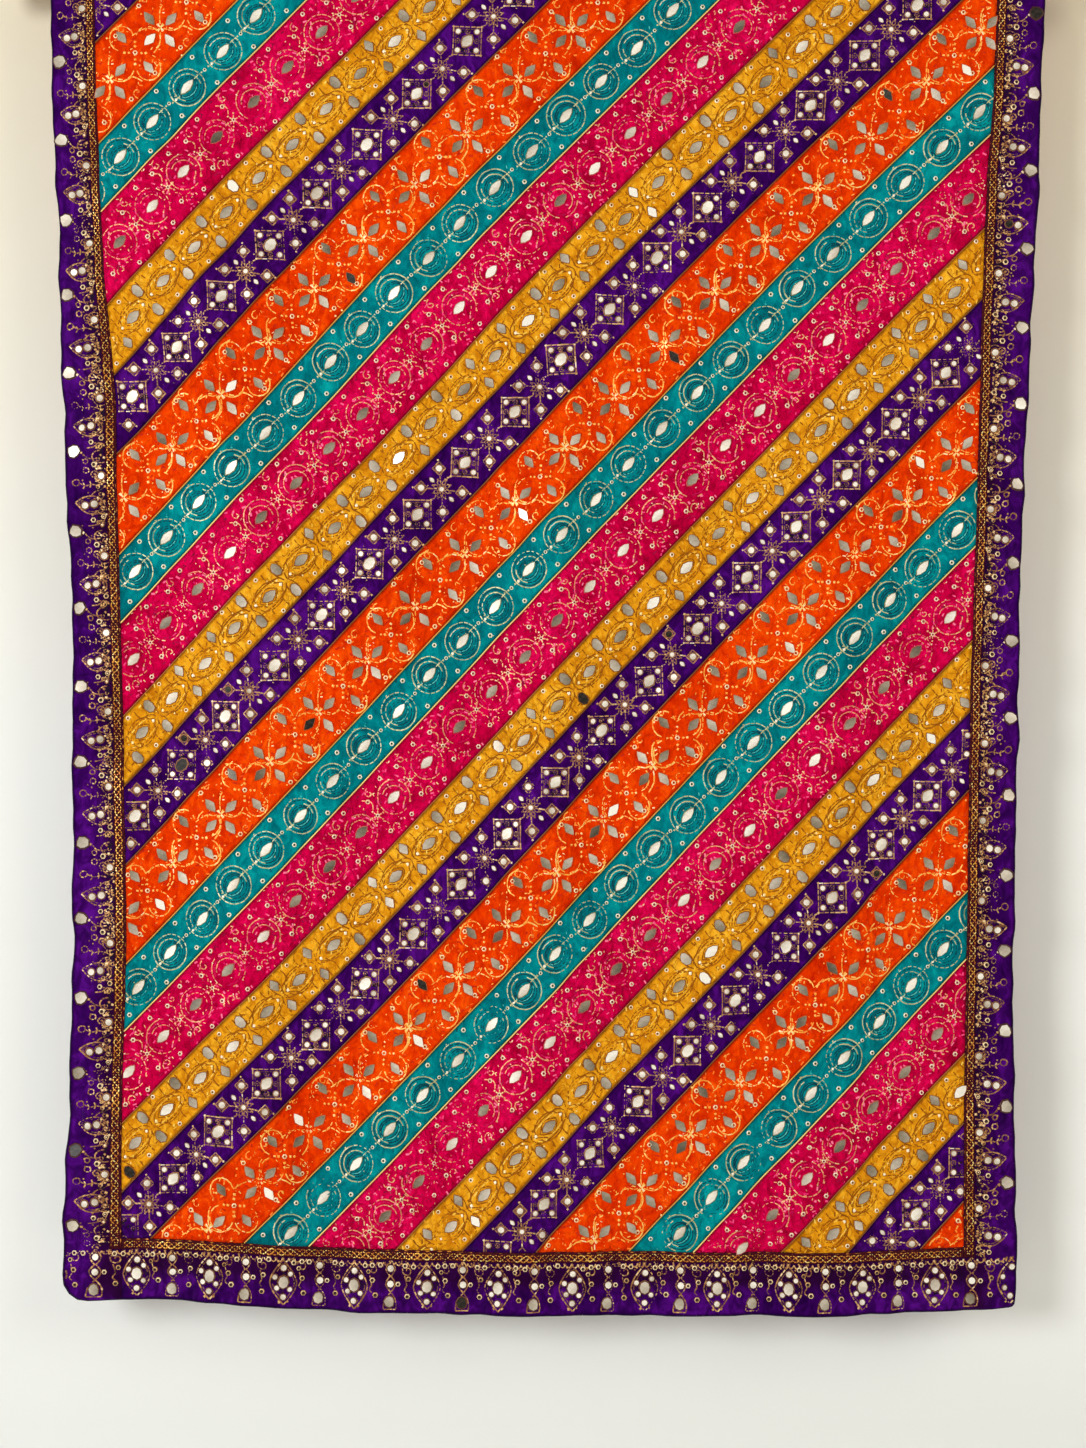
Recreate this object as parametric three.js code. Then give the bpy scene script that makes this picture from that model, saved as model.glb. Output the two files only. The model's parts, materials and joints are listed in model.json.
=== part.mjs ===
// A mirror work dupatta: a long cloth of diagonal strips with purple borders and gold braid,
// folded in half over a plain round rod. Millimetres, +Z up, +X to the right seen from the front.
// The origin is the middle of the rod's axis. The longer half hangs in front, towards -Y.
// The cloth is worked out flat first: "across" runs from its left edge to its right edge, and
// "along" runs down its length, 0 over the rod, positive in front and negative behind.
import * as THREE from 'three';
import { mergeVertices } from 'three/addons/utils/BufferGeometryUtils.js';

// Driving sizes of the cut
const CLOTH_LENGTH = 2500;
const CLOTH_WIDTH = 950;
const SIDE_BORDER = 48;
const END_BORDER = 60;
const BRAID_WIDTH = 10;
const FRONT_DROP = 1265;
const WALL = 1.2;
const BRAID_WALL = 1.0;
const SEAM_GAP = 0.3;

// The rod that carries it
const ROD_RADIUS = 16;
const ROD_LENGTH = 1060;
const ROD_CHAMFER = 2;
const ROD_SIDES = 24;

// The strips are cut at 45 degrees. Each width is square to the strip's own edges.
const STRIPS = [
  { colour: 'orange', width: 67 },
  { colour: 'teal', width: 46 },
  { colour: 'pink', width: 63 },
  { colour: 'mustard', width: 47 },
  { colour: 'purple', width: 53 },
];
// Where the top edge of an orange strip crosses the cloth's middle, along the cloth
const FIRST_EDGE = 54;

// The hanging outline: how far each edge stands from the middle at a distance below the rod.
const OUTLINE = [
  { down: 0, left: -468, panelLeft: -427, panelRight: 427, right: 473 },
  { down: 110, left: -467, panelLeft: -425, panelRight: 423, right: 468 },
  { down: 210, left: -462, panelLeft: -421, panelRight: 416, right: 465 },
  { down: 305, left: -459, panelLeft: -415, panelRight: 412, right: 459 },
  { down: 400, left: -456, panelLeft: -406, panelRight: 409, right: 455 },
  { down: 495, left: -452, panelLeft: -404, panelRight: 406, right: 450 },
  { down: 635, left: -446, panelLeft: -400, panelRight: 401, right: 446 },
  { down: 775, left: -446, panelLeft: -397, panelRight: 398, right: 444 },
  { down: 920, left: -446, panelLeft: -395, panelRight: 396, right: 441 },
  { down: 1060, left: -449, panelLeft: -399, panelRight: 394, right: 441 },
  { down: 1190, left: -455, panelLeft: -400, panelRight: 394, right: 444 },
  { down: 1265, left: -456, panelLeft: -400, panelRight: 395, right: 444 },
];

// How far the hem is drawn up, across the cloth
const HEM_RISE = [
  { across: -475, rise: 14 },
  { across: -360, rise: 14 },
  { across: -290, rise: 8.5 },
  { across: -200, rise: 3 },
  { across: 0, rise: 0 },
  { across: 300, rise: 0 },
  { across: 440, rise: 5 },
  { across: 475, rise: 7 },
];
const RISE_POWER = 3;
const CORNER_RADIUS = { left: 21, right: 6 };

// The soft upright folds of each half: a broad roll and narrower waves on it.
// "phase" is in turns and "lean" in turns for each millimetre down.
const FOLDS = {
  front: [
    { depth: 3.5, spacing: 310, phase: 0.1, lean: 0.00022, uneven: 0 },
    { depth: 3.2, spacing: 148, phase: 0.2, lean: 0.0001, uneven: 0.3 },
  ],
  back: [
    { depth: 3.5, spacing: 345, phase: 0.62, lean: -0.00018, uneven: 0 },
    { depth: 3.0, spacing: 163, phase: 0.45, lean: 0.00014, uneven: 0.35 },
  ],
};
const UNEVEN_SPACING = 530;
const FOLDS_START = 60;
const FOLDS_FULL = 620;
const HEM_CALM = { start: 1040, end: FRONT_DROP, keep: 0.7 };
const SWING_OUT = 8;

// Faces: rows along the cloth, and points across the pieces
const ROW_STEP = 42;
const WRAP_STEPS = 8;
const CLOSEST_ROW = 9;
const CLOSEST_WRAP_ROW = 0.5;
const HEM_COLUMNS = 24;
const STRIP_COLUMNS = 2;
const CORNER_ROWS = [1, 0.6, 0.25];
const SMALLEST_CORNER_PIECE = 12;
const STEEPEST_FOLD = 0.9;
const WELD = 1e-3;

// Sizes that follow from those above
const HALF_WIDTH = CLOTH_WIDTH / 2;
const PANEL_HALF = HALF_WIDTH - SIDE_BORDER;
const WRAP_FACET = Math.cos(Math.PI / WRAP_STEPS / 2);
const WRAP_RADIUS = (ROD_RADIUS + SEAM_GAP) / WRAP_FACET + WALL / 2;
const WRAP_QUARTER = WRAP_RADIUS * Math.PI / 2;
const FRONT_END = FRONT_DROP + WRAP_QUARTER;
const BACK_END = FRONT_END - CLOTH_LENGTH;
const PANEL_FRONT = FRONT_END - END_BORDER;
const PANEL_BACK = BACK_END + END_BORDER;
const HALF_GAP = SEAM_GAP / 2;

const MATERIALS = {
  orange: { color: '#e8430a', roughness: 0.55 },
  teal: { color: '#007f82', roughness: 0.55 },
  pink: { color: '#c80050', roughness: 0.55 },
  mustard: { color: '#cc8713', roughness: 0.6 },
  purple: { color: '#3b056c', roughness: 0.4 },
  braid: { color: '#a8782f', roughness: 0.45, metalness: 0.6 },
  rod: { color: '#6a4528', roughness: 0.5 },
};

function material(name) {
  return new THREE.MeshStandardMaterial({ metalness: 0, side: THREE.FrontSide, ...MATERIALS[name] });
}

// A smooth value between the rows of a table, through every row
function between(table, key, at, column) {
  const last = table.length - 1;
  const x = THREE.MathUtils.clamp(at, table[0][key], table[last][key]);
  let i = 0;
  while (i < last - 1 && x > table[i + 1][key]) i += 1;
  const slope = (a, b) => (table[b][column] - table[a][column]) / (table[b][key] - table[a][key]);
  const width = table[i + 1][key] - table[i][key];
  const before = i > 0 ? slope(i - 1, i + 1) : slope(i, i + 1);
  const after = i < last - 1 ? slope(i, i + 2) : slope(i, i + 1);
  const t = (x - table[i][key]) / width;
  const start = table[i][column];
  const end = table[i + 1][column];
  const ease = t * t * (3 - 2 * t);
  return start + (end - start) * ease
    + width * t * (1 - t) * ((1 - t) * before - t * after);
}

function ramp(value, start, end) {
  return THREE.MathUtils.smoothstep(value, start, end);
}

// How far the cloth stands out from the plane in which it leaves the rod
function swell(across, down, half) {
  const calm = 1 - (1 - HEM_CALM.keep) * ramp(down, HEM_CALM.start, HEM_CALM.end);
  let out = SWING_OUT;
  for (const fold of FOLDS[half]) {
    const uneven = 1 + fold.uneven * Math.sin(2 * Math.PI * across / UNEVEN_SPACING + 1.3);
    const turns = across / fold.spacing + fold.phase + fold.lean * down;
    out += fold.depth * uneven * Math.sin(2 * Math.PI * turns);
  }
  return out * calm * ramp(down, FOLDS_START, FOLDS_FULL);
}

// The share of the hanging panel's width that lies left of a point, since folds take up width.
// It is summed once for each height and half.
const SHARE_STEPS = 140;
const shareCache = new Map();

function panelShares(down, half) {
  const key = `${half} ${down.toFixed(3)}`;
  if (shareCache.has(key)) return shareCache.get(key);
  const step = 2 * PANEL_HALF / SHARE_STEPS;
  const sums = [0];
  for (let i = 0; i < SHARE_STEPS; i += 1) {
    const start = -PANEL_HALF + i * step;
    const slope = (swell(start + step, down, half) - swell(start, down, half)) / step;
    sums.push(sums[i] + Math.sqrt(1 - Math.min(slope * slope, STEEPEST_FOLD)));
  }
  shareCache.set(key, sums);
  return sums;
}

function sideways(across, down, half) {
  const edge = (name) => between(OUTLINE, 'down', down, name);
  if (across < -PANEL_HALF) {
    const share = (across + HALF_WIDTH) / SIDE_BORDER;
    return THREE.MathUtils.lerp(edge('left'), edge('panelLeft'), share);
  }
  if (across > PANEL_HALF) {
    const share = (across - PANEL_HALF) / SIDE_BORDER;
    return THREE.MathUtils.lerp(edge('panelRight'), edge('right'), share);
  }
  const sums = panelShares(down, half);
  const place = (across + PANEL_HALF) / (2 * PANEL_HALF) * SHARE_STEPS;
  const i = Math.min(SHARE_STEPS - 1, Math.floor(place));
  const sum = sums[i] + (sums[i + 1] - sums[i]) * (place - i);
  return THREE.MathUtils.lerp(edge('panelLeft'), edge('panelRight'), sum / sums[SHARE_STEPS]);
}

// The middle of the cloth's wall, from flat to hanging
function middle(across, along) {
  const down = Math.abs(along) - WRAP_QUARTER;
  const half = along >= 0 ? 'front' : 'back';
  const facing = along >= 0 ? -1 : 1;
  if (down <= 0) {
    const turn = along / WRAP_RADIUS;
    const x = sideways(across, 0, half);
    return new THREE.Vector3(x, -WRAP_RADIUS * Math.sin(turn), WRAP_RADIUS * Math.cos(turn));
  }
  const rise = between(HEM_RISE, 'across', across, 'rise') * (down / FRONT_DROP) ** RISE_POWER;
  const out = WRAP_RADIUS + swell(across, down, half);
  return new THREE.Vector3(sideways(across, down, half), facing * out, rise - down);
}

// A point of the cloth, moved out along its face by "lift"
function place(across, along, lift) {
  const near = 0.5;
  const acrossWay = middle(across + near, along).sub(middle(across - near, along));
  const alongWay = middle(across, along + near).sub(middle(across, along - near));
  const outward = alongWay.cross(acrossWay).normalize();
  return middle(across, along).addScaledVector(outward, lift);
}

// A closed wall over rows of flat points. Each row has its place along the cloth and its points
// across it. Rows all have the same count of points, and a row may come together in one point.
function wallSolid(rows, liftIn, liftOut) {
  const columns = rows[0].across.length;
  const vertices = [];
  const faces = [];
  const key = (row, column, layer) => (row * columns + column) * 2 + layer;
  rows.forEach((row) => {
    row.across.forEach((across) => {
      vertices.push(...place(across, row.along, liftIn).toArray());
      vertices.push(...place(across, row.along, liftOut).toArray());
    });
  });
  const quad = (a, b, c, d) => faces.push(a, b, c, a, c, d);
  for (let r = 0; r < rows.length - 1; r += 1) {
    const upper = rows[r];
    const lower = rows[r + 1];
    for (let c = 0; c < columns - 1; c += 1) {
      const drop = lower.along - upper.along;
      const falling = Math.hypot(lower.across[c + 1] - upper.across[c], drop);
      const rising = Math.hypot(lower.across[c] - upper.across[c + 1], drop);
      for (const layer of [0, 1]) {
        const corners = [key(r, c, layer), key(r + 1, c, layer),
          key(r + 1, c + 1, layer), key(r, c + 1, layer)];
        if (falling > rising) corners.push(corners.shift());
        const [a, b, d, e] = corners;
        if (layer === 1) quad(a, b, d, e);
        else quad(a, e, d, b);
      }
    }
    quad(key(r, 0, 0), key(r + 1, 0, 0), key(r + 1, 0, 1), key(r, 0, 1));
    const last = columns - 1;
    quad(key(r, last, 1), key(r + 1, last, 1), key(r + 1, last, 0), key(r, last, 0));
  }
  const bottom = rows.length - 1;
  for (let c = 0; c < columns - 1; c += 1) {
    quad(key(0, c, 1), key(0, c + 1, 1), key(0, c + 1, 0), key(0, c, 0));
    quad(key(bottom, c, 0), key(bottom, c + 1, 0), key(bottom, c + 1, 1), key(bottom, c, 1));
  }
  const loose = new THREE.BufferGeometry();
  loose.setAttribute('position', new THREE.Float32BufferAttribute(vertices, 3));
  loose.setIndex(faces);
  return withoutSlivers(mergeVertices(loose, WELD));
}

// The same geometry without the faces that came together in a line or a point
function withoutSlivers(geometry) {
  const index = geometry.index.array;
  const kept = [];
  for (let i = 0; i < index.length; i += 3) {
    const [a, b, c] = [index[i], index[i + 1], index[i + 2]];
    if (a !== b && b !== c && a !== c) kept.push(a, b, c);
  }
  geometry.setIndex(kept);
  geometry.computeVertexNormals();
  return geometry;
}

// Rows along the cloth between two places: even steps on the hanging halves, fine ones over the
// rod, and the piece's own corners, which push out even rows that come too close to them
function rowsBetween(start, end, own) {
  const wrap = [];
  for (let i = 0; i <= WRAP_STEPS; i += 1) {
    wrap.push(-WRAP_QUARTER + i * 2 * WRAP_QUARTER / WRAP_STEPS);
  }
  const fixed = [start, end, ...own].filter((v) => v >= start && v <= end);
  const even = [];
  const steps = Math.ceil(FRONT_DROP / ROW_STEP);
  for (let i = 1; i <= steps; i += 1) {
    const down = WRAP_QUARTER + i * FRONT_DROP / steps;
    even.push(down, -down);
  }
  const clear = (v) => fixed.every((other) => Math.abs(other - v) >= CLOSEST_ROW);
  const chosen = [...fixed, ...wrap.filter((v) => fixed.every((f) => Math.abs(f - v) > CLOSEST_WRAP_ROW)),
    ...even.filter(clear)];
  const inside = chosen.filter((v) => v >= start && v <= end).sort((a, b) => a - b);
  return inside.filter((v, i) => i === 0 || v - inside[i - 1] > WELD);
}

function spread(start, end, count) {
  return Array.from({ length: count + 1 }, (_, i) => start + (end - start) * i / count);
}

const dupatta = new THREE.Group();

function add(name, geometry, look) {
  const mesh = new THREE.Mesh(geometry, material(look));
  mesh.name = name;
  dupatta.add(mesh);
}

// One diagonal strip, between two lines on which along + across is the same everywhere
function strip(name, upperLine, lowerLine, colour) {
  const edge = PANEL_HALF - HALF_GAP;
  const top = upperLine + HALF_GAP * Math.SQRT2;
  const bottom = lowerLine - HALF_GAP * Math.SQRT2;
  const start = Math.max(PANEL_BACK + HALF_GAP, top - edge);
  const end = Math.min(PANEL_FRONT - HALF_GAP, bottom + edge);
  const corners = [top - edge, bottom - edge, top + edge, bottom + edge];
  const rows = rowsBetween(start, end, corners).map((along) => {
    const left = THREE.MathUtils.clamp(top - along, -edge, edge);
    const right = THREE.MathUtils.clamp(bottom - along, -edge, edge);
    return { along, across: spread(left, right, STRIP_COLUMNS) };
  });
  add(name, wallSolid(rows, -WALL / 2, WALL / 2), colour);
}

function strips() {
  const repeat = STRIPS.reduce((sum, s) => sum + s.width, 0) * Math.SQRT2;
  const firstCorner = PANEL_BACK - PANEL_HALF;
  const lastCorner = PANEL_FRONT + PANEL_HALF;
  let line = FIRST_EDGE - repeat * Math.ceil((FIRST_EDGE - firstCorner) / repeat);
  let number = 1;
  for (let i = 0; line < lastCorner - SMALLEST_CORNER_PIECE; i += 1) {
    const { colour, width } = STRIPS[i % STRIPS.length];
    const next = line + width * Math.SQRT2;
    if (next > firstCorner + SMALLEST_CORNER_PIECE) {
      strip(`strip_${String(number).padStart(2, '0')}_${colour}`, line, next, colour);
      number += 1;
    }
    line = next;
  }
}

// How far the outer edge stands in where a corner is rounded
function cornerIn(along, radius) {
  const past = Math.max(along - (FRONT_END - radius), BACK_END + radius - along, 0);
  return radius - Math.sqrt(Math.max(0, radius * radius - past * past));
}

// A side border from hem to hem, with the braid that is sewn along its inner edge
function sideBorder(side) {
  const sign = side === 'left' ? -1 : 1;
  const radius = CORNER_RADIUS[side];
  const inner = PANEL_HALF + HALF_GAP;
  const braidOuter = inner + BRAID_WIDTH;
  const roundRows = CORNER_ROWS.map((share) => share * radius);
  const braidStart = PANEL_BACK - BRAID_WIDTH;
  const braidEnd = PANEL_FRONT + BRAID_WIDTH;
  const own = [braidStart, braidEnd, ...roundRows.map((d) => FRONT_END - d),
    ...roundRows.map((d) => BACK_END + d)];
  const alongs = rowsBetween(BACK_END, FRONT_END, own);
  const ordered = (values) => (sign < 0 ? values.map((v) => -v).reverse() : values);
  const rows = alongs.map((along) => {
    const outer = HALF_WIDTH - cornerIn(along, radius);
    return { along, across: ordered([inner, braidOuter, outer]) };
  });
  add(`border_${side}`, wallSolid(rows, -WALL / 2, WALL / 2), 'purple');
  const braidRows = alongs.filter((v) => v >= braidStart && v <= braidEnd)
    .map((along) => ({ along, across: ordered([inner, braidOuter]) }));
  add(`braid_${side}`, braidSolid(braidRows), 'braid');
}

// An end border between the side borders, with its own braid
function endBorder(end) {
  const edge = PANEL_HALF - HALF_GAP;
  const across = spread(-edge, edge, HEM_COLUMNS);
  const sign = end === 'front' ? 1 : -1;
  const inner = (end === 'front' ? PANEL_FRONT : -PANEL_BACK) + HALF_GAP;
  const braidOuter = inner + BRAID_WIDTH;
  const hem = end === 'front' ? FRONT_END : -BACK_END;
  const toRows = (values) => values.map((v) => ({ along: sign * v, across }))
    .sort((a, b) => a.along - b.along);
  const border = toRows([inner, braidOuter, (braidOuter + hem) / 2, hem]);
  add(`border_${end}_end`, wallSolid(border, -WALL / 2, WALL / 2), 'purple');
  add(`braid_${end}_end`, braidSolid(toRows([inner, braidOuter])), 'braid');
}

// Braid lies on its border, made from the border's own points moved out
function braidSolid(rows) {
  const foot = WALL / 2 + SEAM_GAP;
  return wallSolid(rows, foot, foot + BRAID_WALL);
}

function rod() {
  const half = ROD_LENGTH / 2;
  const profile = [
    new THREE.Vector2(0, -half),
    new THREE.Vector2(ROD_RADIUS - ROD_CHAMFER, -half),
    new THREE.Vector2(ROD_RADIUS, -half + ROD_CHAMFER),
    new THREE.Vector2(ROD_RADIUS, half - ROD_CHAMFER),
    new THREE.Vector2(ROD_RADIUS - ROD_CHAMFER, half),
    new THREE.Vector2(0, half),
  ];
  const geometry = new THREE.LatheGeometry(profile, ROD_SIDES);
  geometry.deleteAttribute('normal');
  geometry.deleteAttribute('uv');
  const closed = withoutSlivers(mergeVertices(geometry, WELD));
  closed.rotateZ(-Math.PI / 2);
  add('rod', closed, 'rod');
}

strips();
sideBorder('left');
sideBorder('right');
endBorder('front');
endBorder('back');
rod();

export default dupatta;
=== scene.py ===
"""The looks of a mirror work dupatta that hangs folded in half over a plain rod.

Sizes are in millimetres until a mesh is made. The cloth is worked out flat first: "across" runs
from its left edge to its right, and "along" runs down its length, 0 over the rod, positive in
front and negative behind. One set of functions hangs it, and everything sewn on follows them.
"""
import json
import math

import bpy
import numpy as np
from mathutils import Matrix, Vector

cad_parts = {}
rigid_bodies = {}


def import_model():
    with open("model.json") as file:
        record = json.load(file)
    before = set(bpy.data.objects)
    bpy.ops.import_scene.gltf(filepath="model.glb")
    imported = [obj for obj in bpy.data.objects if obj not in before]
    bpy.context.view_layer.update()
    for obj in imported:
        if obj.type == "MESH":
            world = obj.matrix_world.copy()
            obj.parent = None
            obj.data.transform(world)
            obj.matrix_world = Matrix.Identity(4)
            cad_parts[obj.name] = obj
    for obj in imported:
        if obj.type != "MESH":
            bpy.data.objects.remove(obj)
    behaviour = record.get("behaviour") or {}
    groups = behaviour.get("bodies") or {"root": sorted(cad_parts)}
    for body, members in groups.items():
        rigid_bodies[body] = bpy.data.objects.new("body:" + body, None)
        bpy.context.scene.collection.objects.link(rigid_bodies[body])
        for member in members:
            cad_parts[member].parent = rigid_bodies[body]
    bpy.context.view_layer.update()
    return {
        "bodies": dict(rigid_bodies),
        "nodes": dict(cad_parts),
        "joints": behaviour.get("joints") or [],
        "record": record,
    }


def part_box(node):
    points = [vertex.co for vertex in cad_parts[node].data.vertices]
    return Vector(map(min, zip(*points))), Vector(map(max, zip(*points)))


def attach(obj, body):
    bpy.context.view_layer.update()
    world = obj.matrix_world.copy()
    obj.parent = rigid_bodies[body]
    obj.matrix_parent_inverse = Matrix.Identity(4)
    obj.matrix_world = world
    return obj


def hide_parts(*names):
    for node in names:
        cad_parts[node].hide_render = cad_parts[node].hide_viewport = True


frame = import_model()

MM = 0.001
TURN = 2 * math.pi

# Sizes of the cut
CLOTH_LENGTH = 2500
CLOTH_WIDTH = 950
SIDE_BORDER = 48
END_BORDER = 60
BRAID_WIDTH = 10
FRONT_DROP = 1265
WALL = 1.2
SEAM_GAP = 0.3
ROD_RADIUS = 1000 * (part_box("rod")[1].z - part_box("rod")[0].z) / 2
ROD_LENGTH = 1000 * (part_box("rod")[1].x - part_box("rod")[0].x)
WRAP_STEPS = 8
STRIPS = [("orange", 67), ("teal", 46), ("pink", 63), ("mustard", 47), ("purple", 53)]
FIRST_EDGE = 54

HALF_WIDTH = CLOTH_WIDTH / 2
PANEL_HALF = HALF_WIDTH - SIDE_BORDER
WRAP_FACET = math.cos(math.pi / WRAP_STEPS / 2)
WRAP_RADIUS = (ROD_RADIUS + SEAM_GAP) / WRAP_FACET + WALL / 2
WRAP_QUARTER = WRAP_RADIUS * math.pi / 2
FRONT_END = FRONT_DROP + WRAP_QUARTER
BACK_END = FRONT_END - CLOTH_LENGTH
PANEL_FRONT = FRONT_END - END_BORDER
PANEL_BACK = BACK_END + END_BORDER

# The hanging outline, as in the solids: distance below the rod, then each edge's place
OUTLINE = np.array(
    [
        (0, -468, -427, 427, 473), (110, -467, -425, 423, 468), (210, -462, -421, 416, 465),
        (305, -459, -415, 412, 459), (400, -456, -406, 409, 455), (495, -452, -404, 406, 450),
        (635, -446, -400, 401, 446), (775, -446, -397, 398, 444), (920, -446, -395, 396, 441),
        (1060, -449, -399, 394, 441), (1190, -455, -400, 394, 444), (1265, -456, -400, 395, 444),
    ],
    dtype=[(n, float) for n in ("down", "left", "panel_left", "panel_right", "right")],
)
HEM_RISE = np.array(
    [(-475, 14), (-360, 14), (-290, 8.5), (-200, 3), (0, 0), (300, 0), (440, 5), (475, 7)],
    dtype=[("across", float), ("rise", float)],
)
CORNER_RADIUS = {-1: 21, 1: 6}

# Soft upright folds, as in the solids: depth, spacing, phase, lean in turns a mm, unevenness
FOLDS = {
    1: [(3.5, 310, 0.10, 0.00022, 0.0), (3.2, 148, 0.20, 0.0001, 0.30)],
    -1: [(3.5, 345, 0.62, -0.00018, 0.0), (3.0, 163, 0.45, 0.00014, 0.35)],
}
UNEVEN_SPACING = 530
FOLDS_START, FOLDS_FULL = 60, 620
HEM_CALM_START, HEM_CALM_KEEP = 1040, 0.7
SWING_OUT = 8

# Creases placed one by one: across, along, length, width, lean from upright in degrees, depth.
# A positive depth is a ridge and a negative one a trough.
CREASES = [
    (-330, 300, 260, 26, 6, 1.6), (-255, 610, 330, 22, 10, 1.5), (-180, 900, 300, 20, 12, -1.6),
    (-300, 1010, 260, 24, 4, 1.8), (-95, 700, 300, 22, 14, 1.4), (-60, 1060, 240, 18, 10, -1.5),
    (20, 420, 280, 24, -6, 1.3), (70, 900, 330, 22, 16, 1.7), (135, 1130, 220, 18, 8, -1.6),
    (170, 560, 300, 22, 12, -1.5), (250, 760, 300, 24, 8, 1.6), (300, 330, 260, 22, -8, -1.3),
    (345, 1000, 280, 22, 10, 1.5), (390, 560, 240, 18, 4, -1.4), (-395, 760, 260, 18, -4, -1.4),
    (-20, 180, 200, 20, 5, 1.0), (215, 1010, 260, 20, 18, -1.2), (-410, 430, 220, 16, 3, 1.2),
    (-320, -360, 300, 24, 8, 1.5), (-210, -720, 320, 22, -12, -1.6), (-90, -980, 260, 20, 8, 1.5),
    (10, -520, 330, 24, 14, 1.4), (95, -860, 300, 20, -10, -1.5), (190, -420, 280, 22, 6, 1.5),
    (280, -760, 320, 22, -14, 1.6), (360, -1010, 240, 18, 8, -1.4), (-380, -930, 260, 18, 4, 1.4),
    (400, -330, 220, 18, -6, -1.2),
]
CREASE_GAIN = 1.4
CREASE_SWAY = 6

# Small ripples: the pucker that dense stitching draws into thin silk
PUCKER_COUNT = 34
PUCKER_DEPTH = 0.9
PUCKER_SPACINGS = (46, 120)
PUCKER_PATCHES = (180, 420)
# How much of the fine relief is left over the rod, and where it starts and is full below it
FINE_AT_ROD, FINE_START, FINE_FULL = 0.12, 10, 220
# Ripples along the edges: depth, each wave's spacing and share, and how far in they reach
HEM_RIPPLE = 1.5
HEM_WAVES = ((36, 0.5), (49, 0.7), (74, 0.6))
HEM_REACH, SIDE_REACH = 34, 26
# The side edges' waver: depth, and each wave's share and spacing
EDGE_WAVER = 0.6
EDGE_WAVES = ((0.6, 47), (0.4, 29), (0.7, 83))

# Spacing of the surface's grid, the cloth's cells and the rows of cells near an edge
SURFACE_STEP = 2.0
CLOTH_CELL = 8.6
EDGE_ROWS = (1.2, 3.2)
SMALLEST_CORNER = 12
CORNER_START = 1.0

# The cloth's faces, from its middle: the outer one lies lower at the seams
INNER = -0.35
OUTER = 0.6
SEAM_DEPTH = 0.45
SEAM_REACH = 1.6


def ramp(value, start, end):
    t = np.clip((value - start) / (end - start), 0, 1)
    return t * t * (3 - 2 * t)


def between(table, key, at, column):
    """A smooth value between the rows of a table, through every row."""
    keys, values = table[key], table[column]
    x = np.clip(at, keys[0], keys[-1])
    i = np.clip(np.searchsorted(keys, x, side="right") - 1, 0, len(keys) - 2)
    steps = np.diff(values) / np.diff(keys)
    middle = (values[2:] - values[:-2]) / (keys[2:] - keys[:-2])
    slopes = np.concatenate([steps[:1], middle, steps[-1:]])
    width = keys[i + 1] - keys[i]
    t = (x - keys[i]) / width
    ease = t * t * (3 - 2 * t)
    pull = (1 - t) * slopes[i] - t * slopes[i + 1]
    return values[i] + (values[i + 1] - values[i]) * ease + width * t * (1 - t) * pull


def folds(across, down, side):
    """How far one half's big folds stand out from the plane in which it leaves the rod."""
    calm = 1 - (1 - HEM_CALM_KEEP) * ramp(down, HEM_CALM_START, FRONT_DROP)
    out = SWING_OUT
    for depth, spacing, phase, lean, unevenness in FOLDS[side]:
        uneven = 1 + unevenness * np.sin(TURN * across / UNEVEN_SPACING + 1.3)
        out = out + depth * uneven * np.sin(TURN * (across / spacing + phase + lean * down))
    return out * calm * ramp(down, FOLDS_START, FOLDS_FULL)


def puckers(across, along, rng):
    """Small uneven ripples over the whole cloth, deeper towards the hems and side edges."""
    height = np.zeros_like(across)
    for _ in range(PUCKER_COUNT):
        spacing = rng.uniform(*PUCKER_SPACINGS)
        way = rng.uniform(0, math.pi)
        phase = rng.uniform(0, TURN)
        patch = rng.uniform(*PUCKER_PATCHES)
        turns = (across * math.cos(way) + along * math.sin(way)) / spacing
        patchy = np.sin(TURN * across / patch + phase * 2)
        patchy = patchy * np.sin(TURN * along / patch + phase * 3)
        depth = PUCKER_DEPTH * (spacing / PUCKER_SPACINGS[1]) ** 0.7
        height += depth * (0.55 + 0.45 * patchy) * np.sin(TURN * turns + phase)
    return height


def hem_ripples(across, along, rng):
    """Gathers along the hems and the long edges, which die away into the cloth."""
    height = np.zeros_like(across)
    for spacing, share in HEM_WAVES:
        phase = rng.uniform(0, TURN, 4)
        uneven = 1 + 0.5 * np.sin(TURN * across / 210 + phase[3])
        to_hem = np.minimum(FRONT_END - along, along - BACK_END)
        waves = np.sin(TURN * (across / spacing) + phase[0] + 0.8 * np.sin(across / 71))
        height += share * HEM_RIPPLE * uneven * waves * np.exp(-to_hem / HEM_REACH)
        to_side = HALF_WIDTH - np.abs(across)
        left = np.where(across < 0, phase[1], phase[2])
        waves = np.sin(TURN * along / (spacing * 1.25) + left + 0.9 * np.sin(along / 93))
        height += share * HEM_RIPPLE * 0.8 * waves * np.exp(-to_side / SIDE_REACH)
    return height


def creases(across, along):
    """The creases placed one by one, as soft ridges and troughs."""
    height = np.zeros_like(across)
    for x, y, length, width, lean, depth in CREASES:
        cos, sin = math.cos(math.radians(lean)), math.sin(math.radians(lean))
        over = (across - x) * cos + (along - y) * sin
        down = (along - y) * cos - (across - x) * sin
        bent = over + CREASE_SWAY * np.sin(down / length * 4)
        height += CREASE_GAIN * depth * np.exp(-((bent / width) ** 2) - (2 * down / length) ** 4)
    return height


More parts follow.
